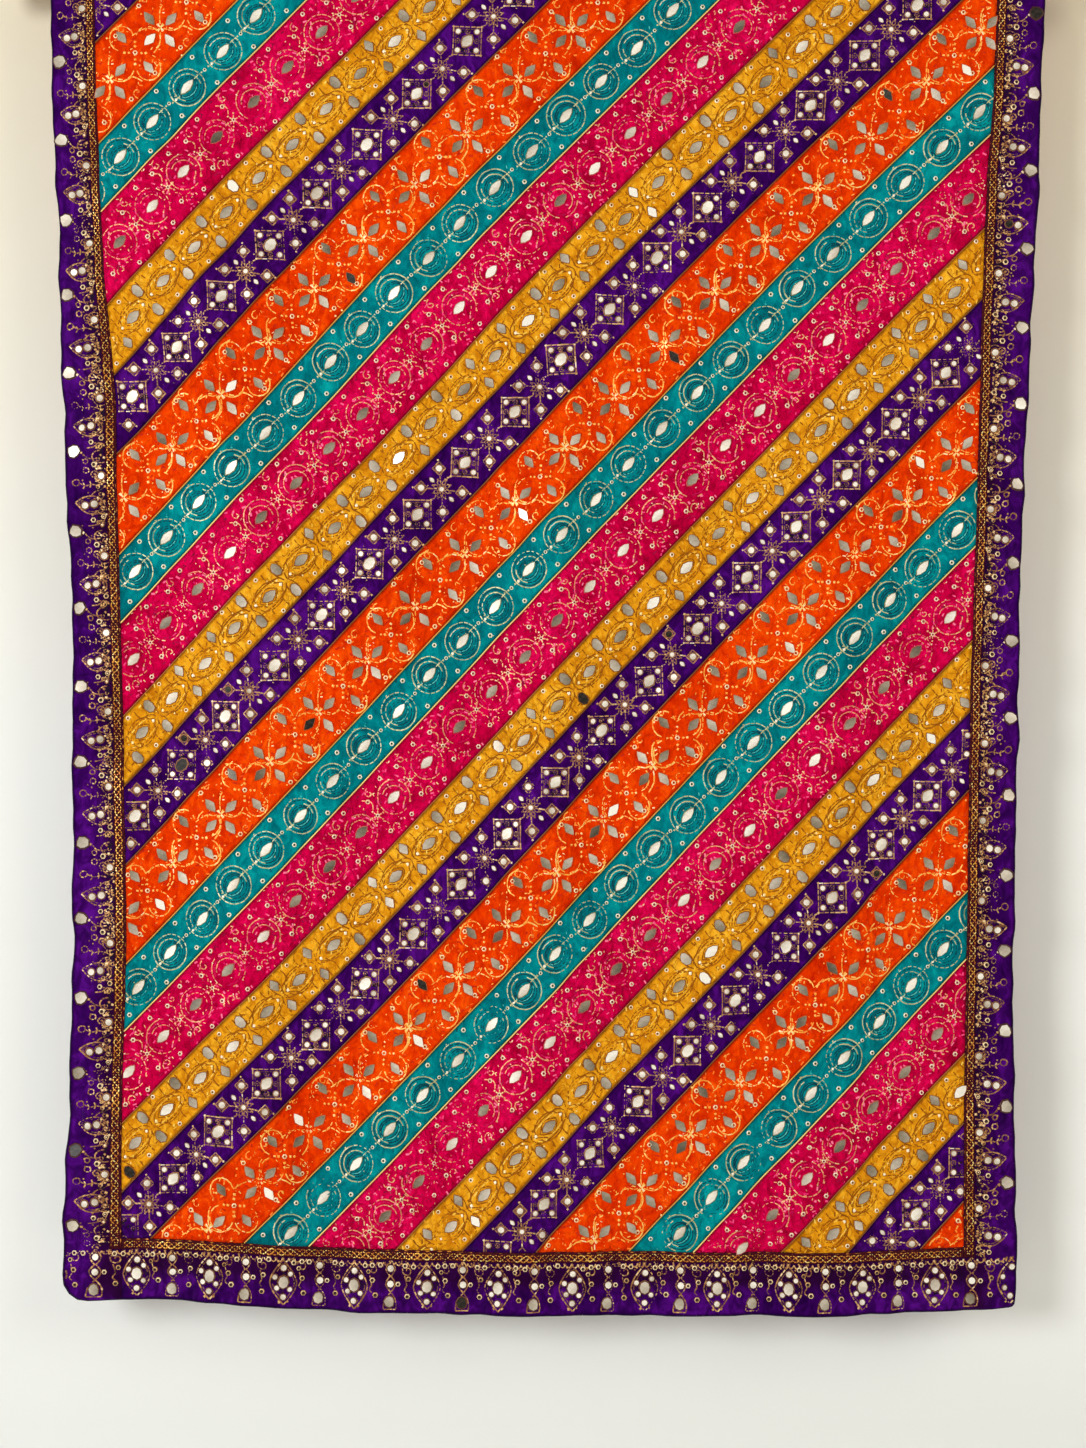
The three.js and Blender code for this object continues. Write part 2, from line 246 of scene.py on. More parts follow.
class Hanging:
    """The hanging cloth's middle surface on a fine grid, and its normals, in millimetres."""

    def __init__(self):
        self.across = np.arange(-HALF_WIDTH, HALF_WIDTH + 0.1, SURFACE_STEP)
        count = int(round(CLOTH_LENGTH / SURFACE_STEP)) + 1
        self.along = np.linspace(BACK_END, FRONT_END, count)
        across, along = np.meshgrid(self.across, self.along)
        rng = np.random.default_rng(11)
        down = np.abs(along) - WRAP_QUARTER
        below = np.maximum(down, 0)
        front = along > 0
        swell = np.where(front, folds(across, below, 1), folds(across, below, -1))
        fine = puckers(across, along, rng) + creases(across, along)
        fine = fine + hem_ripples(across, along, rng)
        fine *= FINE_AT_ROD + (1 - FINE_AT_ROD) * ramp(below, FINE_START, FINE_FULL)
        x = self.sideways(across, below, swell)
        waver = sum(
            share * np.sin(TURN * along / spacing + np.where(across < 0, 0.0, 2.1))
            for share, spacing in EDGE_WAVES
        )
        x += EDGE_WAVER * waver * (np.abs(across) / HALF_WIDTH) ** 12
        rise = between(HEM_RISE, "across", across, "rise") * (below / FRONT_DROP) ** 3
        facing = np.where(front, -1.0, 1.0)
        angle = along / WRAP_RADIUS
        over = down <= 0
        out = WRAP_RADIUS + swell
        y = np.where(over, -WRAP_RADIUS * np.sin(angle), facing * out)
        z = np.where(over, WRAP_RADIUS * np.cos(angle), rise - below)
        middle = np.stack([x, y, z], 2)
        self.points = middle + self.normals_of(middle) * fine[..., None]
        self.normals = self.normals_of(self.points)

    def sideways(self, across, below, swell):
        """Each point's place to the side: folds take up width, and the outline holds the edges."""
        slope = np.gradient(swell, SURFACE_STEP, axis=1)
        shares = np.sqrt(1 - np.minimum(slope**2, 0.9))
        sums = np.concatenate([np.zeros((len(shares), 1)), np.cumsum(shares[:, 1:], 1)], 1)
        low = int(round((HALF_WIDTH - PANEL_HALF) / SURFACE_STEP))
        high = len(self.across) - 1 - low
        share = (sums - sums[:, [low]]) / (sums[:, [high]] - sums[:, [low]])
        edge = {n: between(OUTLINE, "down", below, n) for n in OUTLINE.dtype.names[1:]}
        panel = edge["panel_left"] + (edge["panel_right"] - edge["panel_left"]) * share
        border = edge["panel_left"] - edge["left"]
        left = edge["left"] + border * (across + HALF_WIDTH) / SIDE_BORDER
        border = edge["right"] - edge["panel_right"]
        right = edge["panel_right"] + border * (across - PANEL_HALF) / SIDE_BORDER
        return np.where(across < -PANEL_HALF, left, np.where(across > PANEL_HALF, right, panel))

    @staticmethod
    def normals_of(points):
        along_way = np.gradient(points, axis=0)
        across_way = np.gradient(points, axis=1)
        normals = np.cross(along_way, across_way)
        return normals / np.linalg.norm(normals, axis=2, keepdims=True)

    def look_up(self, grid, across, along):
        column = np.clip((across + HALF_WIDTH) / SURFACE_STEP, 0, len(self.across) - 1.001)
        step = (FRONT_END - BACK_END) / (len(self.along) - 1)
        row = np.clip((along - BACK_END) / step, 0, len(self.along) - 1.001)
        c, r = column.astype(int), row.astype(int)
        fc, fr = (column - c)[..., None], (row - r)[..., None]
        upper = grid[r, c] * (1 - fc) + grid[r, c + 1] * fc
        lower = grid[r + 1, c] * (1 - fc) + grid[r + 1, c + 1] * fc
        return upper * (1 - fr) + lower * fr

    def at(self, across, along, lift=0.0):
        """Points on the cloth's middle, moved out along its face by lift."""
        across, along = np.broadcast_arrays(np.asarray(across, float), np.asarray(along, float))
        lift = np.broadcast_to(np.asarray(lift, float), across.shape)
        spot = self.look_up(self.points, across, along)
        return spot + self.look_up(self.normals, across, along) * lift[..., None]

    def axes_at(self, across, along):
        """Unit vectors to the right, down the cloth and outward, at flat places."""
        reach = 3.0
        right = self.at(across + reach, along) - self.at(across - reach, along)
        down = self.at(across, along + reach) - self.at(across, along - reach)
        right /= np.linalg.norm(right, axis=-1, keepdims=True)
        out = np.cross(down, right)
        out /= np.linalg.norm(out, axis=-1, keepdims=True)
        return right, np.cross(right, out), out


cloth = Hanging()


def link(name, data):
    piece = bpy.data.objects.new(name, data)
    bpy.context.collection.objects.link(piece)
    return piece


class Shape:
    """Points, faces and what is known of each point, gathered for one mesh."""

    def __init__(self):
        self.points, self.faces, self.flat, self.local, self.shade = [], [], [], [], []
        self.count = 0

    def add(self, points, faces, flat=None, local=None, shade=None):
        """Takes points in millimetres, a list of face arrays, and values for each point."""
        points = np.asarray(points, float).reshape(-1, 3)
        blank = np.zeros((len(points), 2))
        self.points.append(points)
        self.faces.extend(np.asarray(f, int) + self.count for f in faces)
        self.flat.append(blank if flat is None else np.asarray(flat, float).reshape(-1, 2))
        self.local.append(blank if local is None else np.asarray(local, float).reshape(-1, 2))
        one = np.zeros(len(points)) if shade is None else np.broadcast_to(shade, len(points))
        self.shade.append(one)
        self.count += len(points)

    def build(self, name, look, smooth=True):
        points = np.concatenate(self.points) * MM
        sizes = np.concatenate([np.full(len(f), f.shape[1]) for f in self.faces])
        corners = np.concatenate([f.reshape(-1) for f in self.faces])
        mesh = bpy.data.meshes.new(name)
        mesh.vertices.add(len(points))
        mesh.vertices.foreach_set("co", points.astype(np.float32).reshape(-1))
        mesh.loops.add(len(corners))
        mesh.loops.foreach_set("vertex_index", corners.astype(np.int32))
        mesh.polygons.add(len(sizes))
        starts = np.concatenate([[0], np.cumsum(sizes)[:-1]])
        mesh.polygons.foreach_set("loop_start", starts.astype(np.int32))
        mesh.polygons.foreach_set("use_smooth", np.full(len(sizes), smooth))
        mesh.update(calc_edges=True)
        for layer, values in (("flat", self.flat), ("local", self.local)):
            uv = mesh.uv_layers.new(name=layer)
            spread_out = (np.concatenate(values) * MM)[corners]
            uv.uv.foreach_set("vector", spread_out.astype(np.float32).reshape(-1))
        shade = mesh.attributes.new("shade", "FLOAT", "POINT")
        shade.data.foreach_set("value", np.concatenate(self.shade).astype(np.float32))
        mesh.materials.append(look)
        mesh.validate()
        return link(name, mesh)


def grid_faces(rows, columns, start=0, turned=False):
    """Four-cornered faces over a grid of points, facing out where rows run down the cloth."""
    key = start + np.arange(rows * columns).reshape(rows, columns)
    quads = np.stack([key[:-1, :-1], key[1:, :-1], key[1:, 1:], key[:-1, 1:]], -1).reshape(-1, 4)
    return quads[:, ::-1] if turned else quads


def shell(shape, across, along, lift_out, local, lift_in=INNER):
    """A closed thin shell of cloth over a grid of flat places."""
    rows, columns = across.shape
    outer = cloth.at(across, along, lift_out)
    inner = cloth.at(across, along, lift_in)
    faces = [grid_faces(rows, columns), grid_faces(rows, columns, across.size, turned=True)]
    key = np.arange(across.size).reshape(rows, columns)
    rim = np.concatenate([key[:-1, 0], key[-1, :-1], key[:0:-1, -1], key[0, :0:-1]])
    after = np.roll(rim, -1)
    faces.append(np.stack([after, rim, rim + across.size, after + across.size], 1))
    flat = np.stack([across, along], -1).reshape(-1, 2)
    both = np.concatenate([flat, flat])
    places = np.concatenate([local.reshape(-1, 2)] * 2)
    shape.add(np.concatenate([outer.reshape(-1, 3), inner.reshape(-1, 3)]), faces, both, places)


def seamed_lift(*distances):
    """The outer face's height: full within a piece, and low at its seams."""
    lift = OUTER
    for d in distances:
        lift = lift - SEAM_DEPTH * np.exp(-np.maximum(d, 0) / SEAM_REACH)
    return np.maximum(lift, INNER + 0.3)


def steps(width):
    """Places over a width: close together at both edges and even between."""
    first = [0.0, *EDGE_ROWS]
    inside = width - 2 * EDGE_ROWS[-1]
    count = max(1, int(round(inside / CLOTH_CELL)))
    middle = EDGE_ROWS[-1] + inside * np.arange(1, count) / count
    return np.concatenate([first, middle, [width - e for e in first[::-1]]])


def strip_lines():
    """Each strip's colour, number, and the along + across values of its two edges."""
    repeat = sum(width for _, width in STRIPS) * math.sqrt(2)
    first, last = PANEL_BACK - PANEL_HALF, PANEL_FRONT + PANEL_HALF
    line = FIRST_EDGE - repeat * math.ceil((FIRST_EDGE - first) / repeat)
    found, i = [], 0
    while line < last - SMALLEST_CORNER:
        colour, width = STRIPS[i % len(STRIPS)]
        after = line + width * math.sqrt(2)
        if after > first + SMALLEST_CORNER:
            found.append((colour, len(found) + 1, line, after))
        line = after
        i += 1
    return found


def strip_piece(shape, line, after):
    """One diagonal strip's cloth, between its two edges."""
    first, last = PANEL_BACK - PANEL_HALF, PANEL_FRONT + PANEL_HALF
    width = (after - line) / math.sqrt(2)
    turns = [PANEL_BACK + PANEL_HALF, PANEL_FRONT - PANEL_HALF]
    ts = list(steps(width))
    ts += [(c - line) / math.sqrt(2) for c in turns if line < c < after]
    low = (max(line, first + CORNER_START) - line) / math.sqrt(2)
    high = (min(after, last - CORNER_START) - line) / math.sqrt(2)
    ts = np.unique(np.clip(ts, low, high))
    c = line + ts * math.sqrt(2)
    left = np.maximum(-PANEL_HALF, c - PANEL_FRONT)
    right = np.minimum(PANEL_HALF, c - PANEL_BACK)
    longest = (right - left).max() * math.sqrt(2)
    share = np.linspace(0, 1, max(2, int(round(longest / CLOTH_CELL))) + 1)
    across = left[:, None] + (right - left)[:, None] * share
    along = c[:, None] - across
    t = np.broadcast_to(ts[:, None], across.shape)
    local = np.stack([t, (across - along) / math.sqrt(2)], -1)
    shell(shape, across, along, seamed_lift(t, width - t), local)


def corner_in(along, radius):
    past = np.maximum(np.maximum(along - (FRONT_END - radius), BACK_END + radius - along), 0)
    return radius - np.sqrt(np.maximum(0, radius * radius - past * past))


def side_border(shape, sign):
    """A side border's cloth, from hem to hem with rounded corners."""
    along = np.linspace(BACK_END, FRONT_END, int(round(CLOTH_LENGTH / CLOTH_CELL)) + 1)
    radius = CORNER_RADIUS[sign]
    near = np.array([*EDGE_ROWS, 0.1 * radius, 0.3 * radius])
    along = np.unique(np.concatenate([along, FRONT_END - near, BACK_END + near]))
    outer = SIDE_BORDER - corner_in(along, radius)
    shares = steps(SIDE_BORDER) / SIDE_BORDER
    out = outer[:, None] * (shares if sign > 0 else shares[::-1])
    across = sign * (PANEL_HALF + out)
    rows = np.broadcast_to(along[:, None], across.shape)
    local = np.stack([outer[:, None] - out, rows], -1)
    shell(shape, across, rows, seamed_lift(out), local)


def end_border(shape, sign):
    """An end border's cloth, between the side borders."""
    offsets = steps(END_BORDER)
    along = np.sort(sign * ((PANEL_FRONT if sign > 0 else -PANEL_BACK) + offsets))
    across = np.linspace(-PANEL_HALF, PANEL_HALF, int(round(2 * PANEL_HALF / CLOTH_CELL)) + 1)
    across, along = np.meshgrid(across, along)
    hem = FRONT_END if sign > 0 else BACK_END
    to_hem = np.abs(hem - along)
    side = np.minimum(PANEL_HALF - across, PANEL_HALF + across)
    local = np.stack([to_hem, across], -1)
    shell(shape, across, along, seamed_lift(END_BORDER - to_hem, side), local)


def colour(red, green, blue):
    """A colour as seen on a screen, as the linear values that a shader takes."""
    parts = [v / 255 for v in (red, green, blue)]
    linear = [v / 12.92 if v <= 0.04045 else ((v + 0.055) / 1.055) ** 2.4 for v in parts]
    return (*linear, 1.0)


# The curls that bend the lines of dense stitching: their scale, and their reach in spacings
CURL_SCALE, CURL_REACH = 70, 2.4


class Look:
    """A procedural material. Each call makes a node and gives back its output."""

    def __init__(self, name, **finish):
        self.material = bpy.data.materials.new(name)
        self.material.use_nodes = True
        self.tree = self.material.node_tree
        self.shader = self.tree.nodes["Principled BSDF"]
        self.set(self.shader, finish)

    def set(self, node, values):
        for name, value in values.items():
            socket = node.inputs[name]
            if isinstance(value, bpy.types.NodeSocket):
                self.tree.links.new(value, socket)
            else:
                socket.default_value = value

    def node(self, kind, values=None, give=0, **settings):
        node = self.tree.nodes.new("ShaderNode" + kind)
        for name, value in settings.items():
            setattr(node, name, value)
        self.set(node, values or {})
        return node.outputs[give]

    def place(self, layer="flat"):
        return self.node("UVMap", uv_map=layer)

    def stretched(self, vector, x, y, turn=0.0):
        values = {"Vector": vector, "Scale": (x, y, 1.0), "Rotation": (0.0, 0.0, turn)}
        return self.node("Mapping", values)

    def split(self, vector):
        """The vector's first and third parts."""
        node = self.node("SeparateXYZ", {0: vector}).node
        return node.outputs[0], node.outputs[2]

    def noise(self, vector, scale, detail=2.0, rough=0.5, twist=0.0, give=0):
        values = {
            "Vector": vector, "Scale": scale, "Detail": detail, "Roughness": rough,
            "Distortion": twist,
        }
        return self.node("TexNoise", values, give)

    def curled_cells(self, vector, spacing):
        """How far each place is from the lines between uneven cells, in shares of their spacing."""
        swirl = self.noise(vector, CURL_SCALE, 1.0, give=1)
        reach = (CURL_REACH * spacing * MM,) * 3
        bent = self.node("VectorMath", {0: swirl, 1: reach, 2: vector}, operation="MULTIPLY_ADD")
        values = {"Vector": bent, "Scale": 1 / (spacing * MM)}
        return self.node("TexVoronoi", values, feature="DISTANCE_TO_EDGE", voronoi_dimensions="2D")

    def remap(self, value, low, high, to_low=0.0, to_high=1.0):
        values = {
            "Value": value, "From Min": low, "From Max": high, "To Min": to_low, "To Max": to_high,
        }
        return self.node("MapRange", values)

    def math(self, operation, a, b=0.0):
        return self.node("Math", {0: a, 1: b}, operation=operation)

    def mix(self, share, a, b):
        return self.node("Mix", {0: share, 6: a, 7: b}, 2, data_type="RGBA")

    def ramp(self, value, *stops):
        """A tint for each value: the stops hold a value and a colour as seen on a screen."""
        tint = self.node("ValToRGB", {0: value})
        points = tint.node.color_ramp.elements
        while len(points) < len(stops):
            points.new(0.5)
        for point, (at, seen) in zip(points, stops):
            point.position, point.color = at, colour(*seen)
        return tint

    def bump(self, height, distance, strength=1.0, normal=None):
        values = {"Height": height, "Distance": distance, "Strength": strength}
        if normal is not None:
            values["Normal"] = normal
        return self.node("Bump", values)

    def finish(self, **values):
        self.set(self.shader, {k.replace("_", " "): v for k, v in values.items()})
        return self.material


# Painted shade beside a seam and along the hem: fullest within, none beyond, its share, and how
# dark it is
SEAM_SHADE = (0.9, 3.4, 0.8)
SEAM_DARK = 0.3
# The borders' cloth under their dense stitches: how far in it starts and is fullest, tint, share
DENSE_START, DENSE_FULL = 19, 33
DENSE_TINT = (34, 5, 30)
DENSE_SHARE = 0.8
# The cloth's patterns: how many to a metre, and what three of them each add to its tone: the
# crinkles and the broad upright patches add painted shade and light, the mottles vary it at random
CRINKLES, MOTTLES, BROAD_PATCHES, WEAVE, GATHERS = 105, 34, 9, 2100, 62
CRINKLE_PAINTED_SHADE, MOTTLE_TONE, BROAD_PAINTED_SHADE = 0.52, 0.27, 0.21
TONE_STOPS = (0.36, 0.5, 0.64)
WEAVE_DEPTH = 0.05
SILK_GLOSS = 0.16

# Each cloth: dark, base and light tints, crinkle, roughness, gathers, and its veins if any.
# Veins are dense stitching in the cloth's own colour: their spacing, tint, share and puff.
SILKS = {
    "orange": (
        (192, 30, 0), (228, 54, 0), (250, 86, 6), 2.2, 0.6, 0.0, (10.0, (206, 42, 0), 0.3, 0.8),
    ),
    "teal": ((0, 84, 94), (0, 118, 126), (6, 154, 156), 1.8, 0.5, 2.2),
    "pink": (
        (150, 0, 38), (202, 0, 64), (240, 12, 92), 2.6, 0.6, 0.0, (7.5, (164, 0, 48), 0.35, 1.0),
    ),
    "mustard": (
        (190, 110, 8), (230, 154, 22), (252, 190, 50), 2.2, 0.55, 0.0,
        (12.5, (182, 102, 6), 0.5, 1.0),
    ),
    "purple": ((32, 1, 56), (54, 4, 86), (86, 14, 130), 1.4, 0.36, 4.6),
}
SILKS["borders"] = SILKS["purple"]


def silk(name, dark, base, light, crinkle, rough, gathers, veins=None):
    """Thin silk: a mottled base colour, with painted shade and light following its crinkles and
    broad upright patches, and a fine weave.

    Gathers are fine upright ripples, as satin has beside a seam. Painted shade darkens the cloth
    towards its seams and hem.
    """
    look = Look(f"{name}_silk")
    flat = look.place()
    mottle = look.noise(flat, MOTTLES, 3, 0.6, 0.4)
    crumple = look.noise(look.stretched(flat, 1.0, 0.62, 0.2), CRINKLES, 3, 0.62, 0.9)
    weave = look.noise(look.stretched(flat, 1.0, 0.22), WEAVE, 1)
    broad = look.noise(look.stretched(flat, 1.0, 0.28), BROAD_PATCHES, 1)
    # Painted shade and light: the crinkles' own relief, and broad upright patches like soft folds,
    # darken and lighten the tone; the mottles vary it at random
    tone = look.math("MULTIPLY", crumple, CRINKLE_PAINTED_SHADE)
    for part, share in ((mottle, MOTTLE_TONE), (broad, BROAD_PAINTED_SHADE)):
        tone = look.math("ADD", tone, look.math("MULTIPLY", part, share))
    tint = look.ramp(tone, *zip(TONE_STOPS, (dark, base, light)))
    normal = look.bump(crumple, crinkle * MM)
    if gathers:
        upright = look.noise(look.stretched(flat, 1.0, 0.16), GATHERS, 2, 0.5, 0.5)
        normal = look.bump(upright, gathers * MM, 1.0, normal)
    if veins:
        spacing, vein_tint, share, puff = veins
        cells = look.curled_cells(flat, spacing)
        line = look.remap(cells, 0.02, 0.12, share, 0.0)
        tint = look.mix(line, tint, colour(*vein_tint))
        normal = look.bump(look.remap(cells, 0.0, 0.3), puff * MM, 1.0, normal)
    normal = look.bump(weave, WEAVE_DEPTH * MM, 0.5, normal)
    width = dict(STRIPS).get(name, END_BORDER) * MM
    across, _ = look.split(look.place("local"))
    if name == "borders":
        dense = look.remap(across, DENSE_START * MM, DENSE_FULL * MM, 0.0, DENSE_SHARE)
        tint = look.mix(dense, tint, colour(*DENSE_TINT))
    to_far = look.math("ABSOLUTE", look.math("SUBTRACT", width, across))
    to_seam = look.math("MINIMUM", across, to_far)
    # Painted shade: darker within a few millimetres of each seam and of the hem
    painted_seam_shade = look.remap(to_seam, SEAM_SHADE[0] * MM, SEAM_SHADE[1] * MM, SEAM_SHADE[2], 0.0)
    tint = look.mix(painted_seam_shade, tint, (*(SEAM_DARK * v for v in colour(*dark)[:3]), 1.0))
    return look.finish(
        Base_Color=tint, Roughness=rough, Normal=normal, Specular_Tint=colour(*light),
        Specular_IOR_Level=SILK_GLOSS,
    )


CLOTH_LOOKS = {name: silk(name, *values) for name, values in SILKS.items()}


def wood():
    look = Look("rod_wood")
    spot = look.node("TexCoord", give=3)
    grain = look.noise(look.stretched(spot, 3.0, 60.0), 4, 4, 0.6, 0.6)
    tint = look.ramp(grain, (0.3, (84, 54, 32)), (0.7, (126, 86, 52)))
    return look.finish(Base_Color=tint, Roughness=0.5, Normal=look.bump(grain, 0.2 * MM, 0.4))


ROD_SIDES = 48
ROD_CHAMFER = 2.0


def rod():
    """The round rod, with its chamfered ends, along X through the origin."""
    half, slim = ROD_LENGTH / 2, ROD_RADIUS - ROD_CHAMFER
    profile = [(-half, slim), (-half + ROD_CHAMFER, ROD_RADIUS)]
    profile += [(-x, r) for x, r in profile[::-1]]
    turn = np.arange(ROD_SIDES) * TURN / ROD_SIDES
    rings = [
        np.stack([np.full(ROD_SIDES, x), r * np.cos(turn), r * np.sin(turn)], 1)
        for x, r in profile
    ]
    key = np.arange(ROD_SIDES)
    after = np.roll(key, -1)
    faces = []
    for first in ROD_SIDES * np.arange(len(profile) - 1):
        second = first + ROD_SIDES
        faces.append(np.stack([key + second, after + second, after + first, key + first], 1))
    ends = [key[None, :], (key + ROD_SIDES * (len(profile) - 1))[None, ::-1]]
    shape = Shape()
    shape.add(np.concatenate(rings), faces + ends)
    piece = shape.build("rod_wood", wood(), smooth=False)
    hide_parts("rod")
    settle(piece)


def settle(piece):
    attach(piece, "root")


def sheet_piece(shape, name, look, nodes):
    """One colour's cloth, built in place of the parts that it stands for."""
    piece = shape.build(name, CLOTH_LOOKS[look])
    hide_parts(*nodes)
    settle(piece)


def cloth_pieces():
    shapes = {name: Shape() for name, _ in STRIPS}
    nodes = {name: [] for name, _ in STRIPS}
    for name, number, line, after in strip_lines():
        strip_piece(shapes[name], line, after)
        nodes[name].append(f"strip_{number:02d}_{name}")
    for name, width in STRIPS:
        panel = 2 * PANEL_HALF * (PANEL_FRONT - PANEL_BACK)
        area = panel * width / sum(w for _, w in STRIPS) * MM * MM
        flat = (width * MM, area / (width * MM))
        sheet_piece(shapes[name], f"cloth_{name}", name, nodes[name])
    sides, ends = Shape(), Shape()
    for sign in (-1, 1):
        side_border(sides, sign)
        end_border(ends, sign)
    for shape, name, stands_for, flat in (
        (sides, "side", ("left", "right"), (SIDE_BORDER * MM, 2 * CLOTH_LENGTH * MM)),
        (ends, "end", ("front_end", "back_end"), (END_BORDER * MM, 4 * PANEL_HALF * MM)),
    ):
        borders = [f"border_{place}" for place in stands_for]
        sheet_piece(shape, f"cloth_{name}_borders", "borders", borders)


cloth_pieces()
rod()


# Embroidery. A motif is drawn about its own middle, x to the right and y down, in millimetres.
THREAD_FOOT = 0.5
RIGHT_UP = np.array([1.0, -1.0]) / math.sqrt(2)
RIGHT_DOWN = np.ones(2) / math.sqrt(2)
ROUND, ALMOND, LOZENGE, UNEVEN, EGG = range(5)

# Kinds of stitch: length, gap, width and shade, from 0 for dark thread to 1 for pale
BOLD = (5.4, 0.0, 1.3, 0.72)
SPOKE = (5.4, 0.0, 1.35, 0.86)
FINE = (3.1, 0.1, 1.2, 0.64)
OPEN = (3.1, 0.2, 1.2, 0.64)
RING = (2.9, 0.1, 1.2, 0.64)
CURL = (2.7, 0.1, 1.2, 0.64)
PALE_CURL = (2.7, 0.1, 1.2, 0.72)
PENDANT = (3.1, 0.1, 1.3, 0.67)
UNDER = (5.4, -0.1, 1.25, 0.08)


def mirror_outlines():
    """Eight points for each kind of mirror, in units of its half length and half width."""
    turns = np.arange(8) * TURN / 8
    round_one = np.stack([np.cos(turns), np.sin(turns)], 1)
    along = np.array([1, 0.62, 0, -0.62, -1, -0.62, 0, 0.62])
    side = np.array([0, 1, 1, 1, 0, -1, -1, -1.0])
    almond = np.stack([along, side * (1 - np.abs(along) ** 2.0)], 1)
    lozenge = np.stack([along, side * (1 - np.abs(along) ** 1.45)], 1)
    turns = np.array([0, 0.8, 1.5, 2.4, 3.2, 4.1, 4.9, 5.6])
    reach = np.array([1.06, 0.9, 1.08, 0.94, 1.0, 1.08, 0.92, 1.0])
    uneven = np.stack([reach * np.cos(turns), reach * np.sin(turns)], 1)
    egg = round_one * np.where(round_one[:, :1] > 0, 1.12, 0.92)
    return np.stack([round_one, almond, lozenge, uneven, egg])


OUTLINES = mirror_outlines()


def heading(degrees):
    """The unit step in a direction, from the right towards down."""
    return np.array([math.cos(math.radians(degrees)), math.sin(math.radians(degrees))])


def moved(points, x, y, turn):
    """Drawn points, turned by so many degrees and moved to a place."""
    c, s = heading(turn)
    px, py = points.T
    return np.stack([x + px * c - py * s, y + px * s + py * c], 1)


def arc(x, y, wide, high, start=0, end=360, turn=0.0):
    """Points along part of an oval. Angles are in degrees, from the right towards down."""
    count = max(6, int(abs(end - start) / 12))
    a = np.radians(np.linspace(start, end, count))
    return moved(np.stack([wide * np.cos(a), high * np.sin(a)], 1), x, y, turn)


def curve(*places):
    """A smooth line through the given places."""
    p = np.array(places, float)
    if len(p) == 2:
        return p
    ends = np.concatenate([[2 * p[0] - p[1]], p, [2 * p[-1] - p[-2]]])
    t = np.linspace(0, 1, 7)[:-1, None]
    parts = []
    for a, b, c, d in zip(ends[:-3], ends[1:-2], ends[2:-1], ends[3:]):
        bend = (2 * a - 5 * b + 4 * c - d) * t**2 + (3 * b - a - 3 * c + d) * t**3
        parts.append(b + 0.5 * ((c - a) * t + bend))
    return np.concatenate([*parts, p[-1:]])


def spiral(x, y, start, end, first, turns):
    a = np.linspace(0, 1, max(8, int(14 * abs(turns))))
    r = start + (end - start) * a
    way = math.radians(first) + TURN * turns * a
    return np.stack([x + r * np.cos(way), y + r * np.sin(way)], 1)


def drop_frame(x, y, half_long, half_wide, turn, tip=1.0):
    """A closed leaf: pointed at both ends where tip is 1, and rounder at its far end below that."""
    a = np.linspace(-1, 1, 15)
    power = np.where(a < 0, 1.6, 1.6 / tip)
    side = half_wide * (1 - np.abs(a) ** power) ** np.where(a < 0, 1.0, max(0.5, tip))
    over = np.stack([a * half_long, side], 1)
    under = np.stack([a[::-1] * half_long, -side[::-1]], 1)
    return moved(np.concatenate([over, under[1:]]), x, y, turn)


# A stitch's height in shares of its width, and how unevenly it lies, is cut and is tinted
STITCH_TALL = 0.42
STITCH_STRAY, STITCH_TINTS = 0.1, 0.11
STITCH_LENGTHS, STITCH_WIDTHS = (0.92, 1.1), (0.8, 1.2)
FLECK_LENGTHS, FLECK_WIDTHS, FLECK_TINTS = (0.6, 1.3), (0.7, 1.3), 0.17
BEAD_TINTS = 0.06


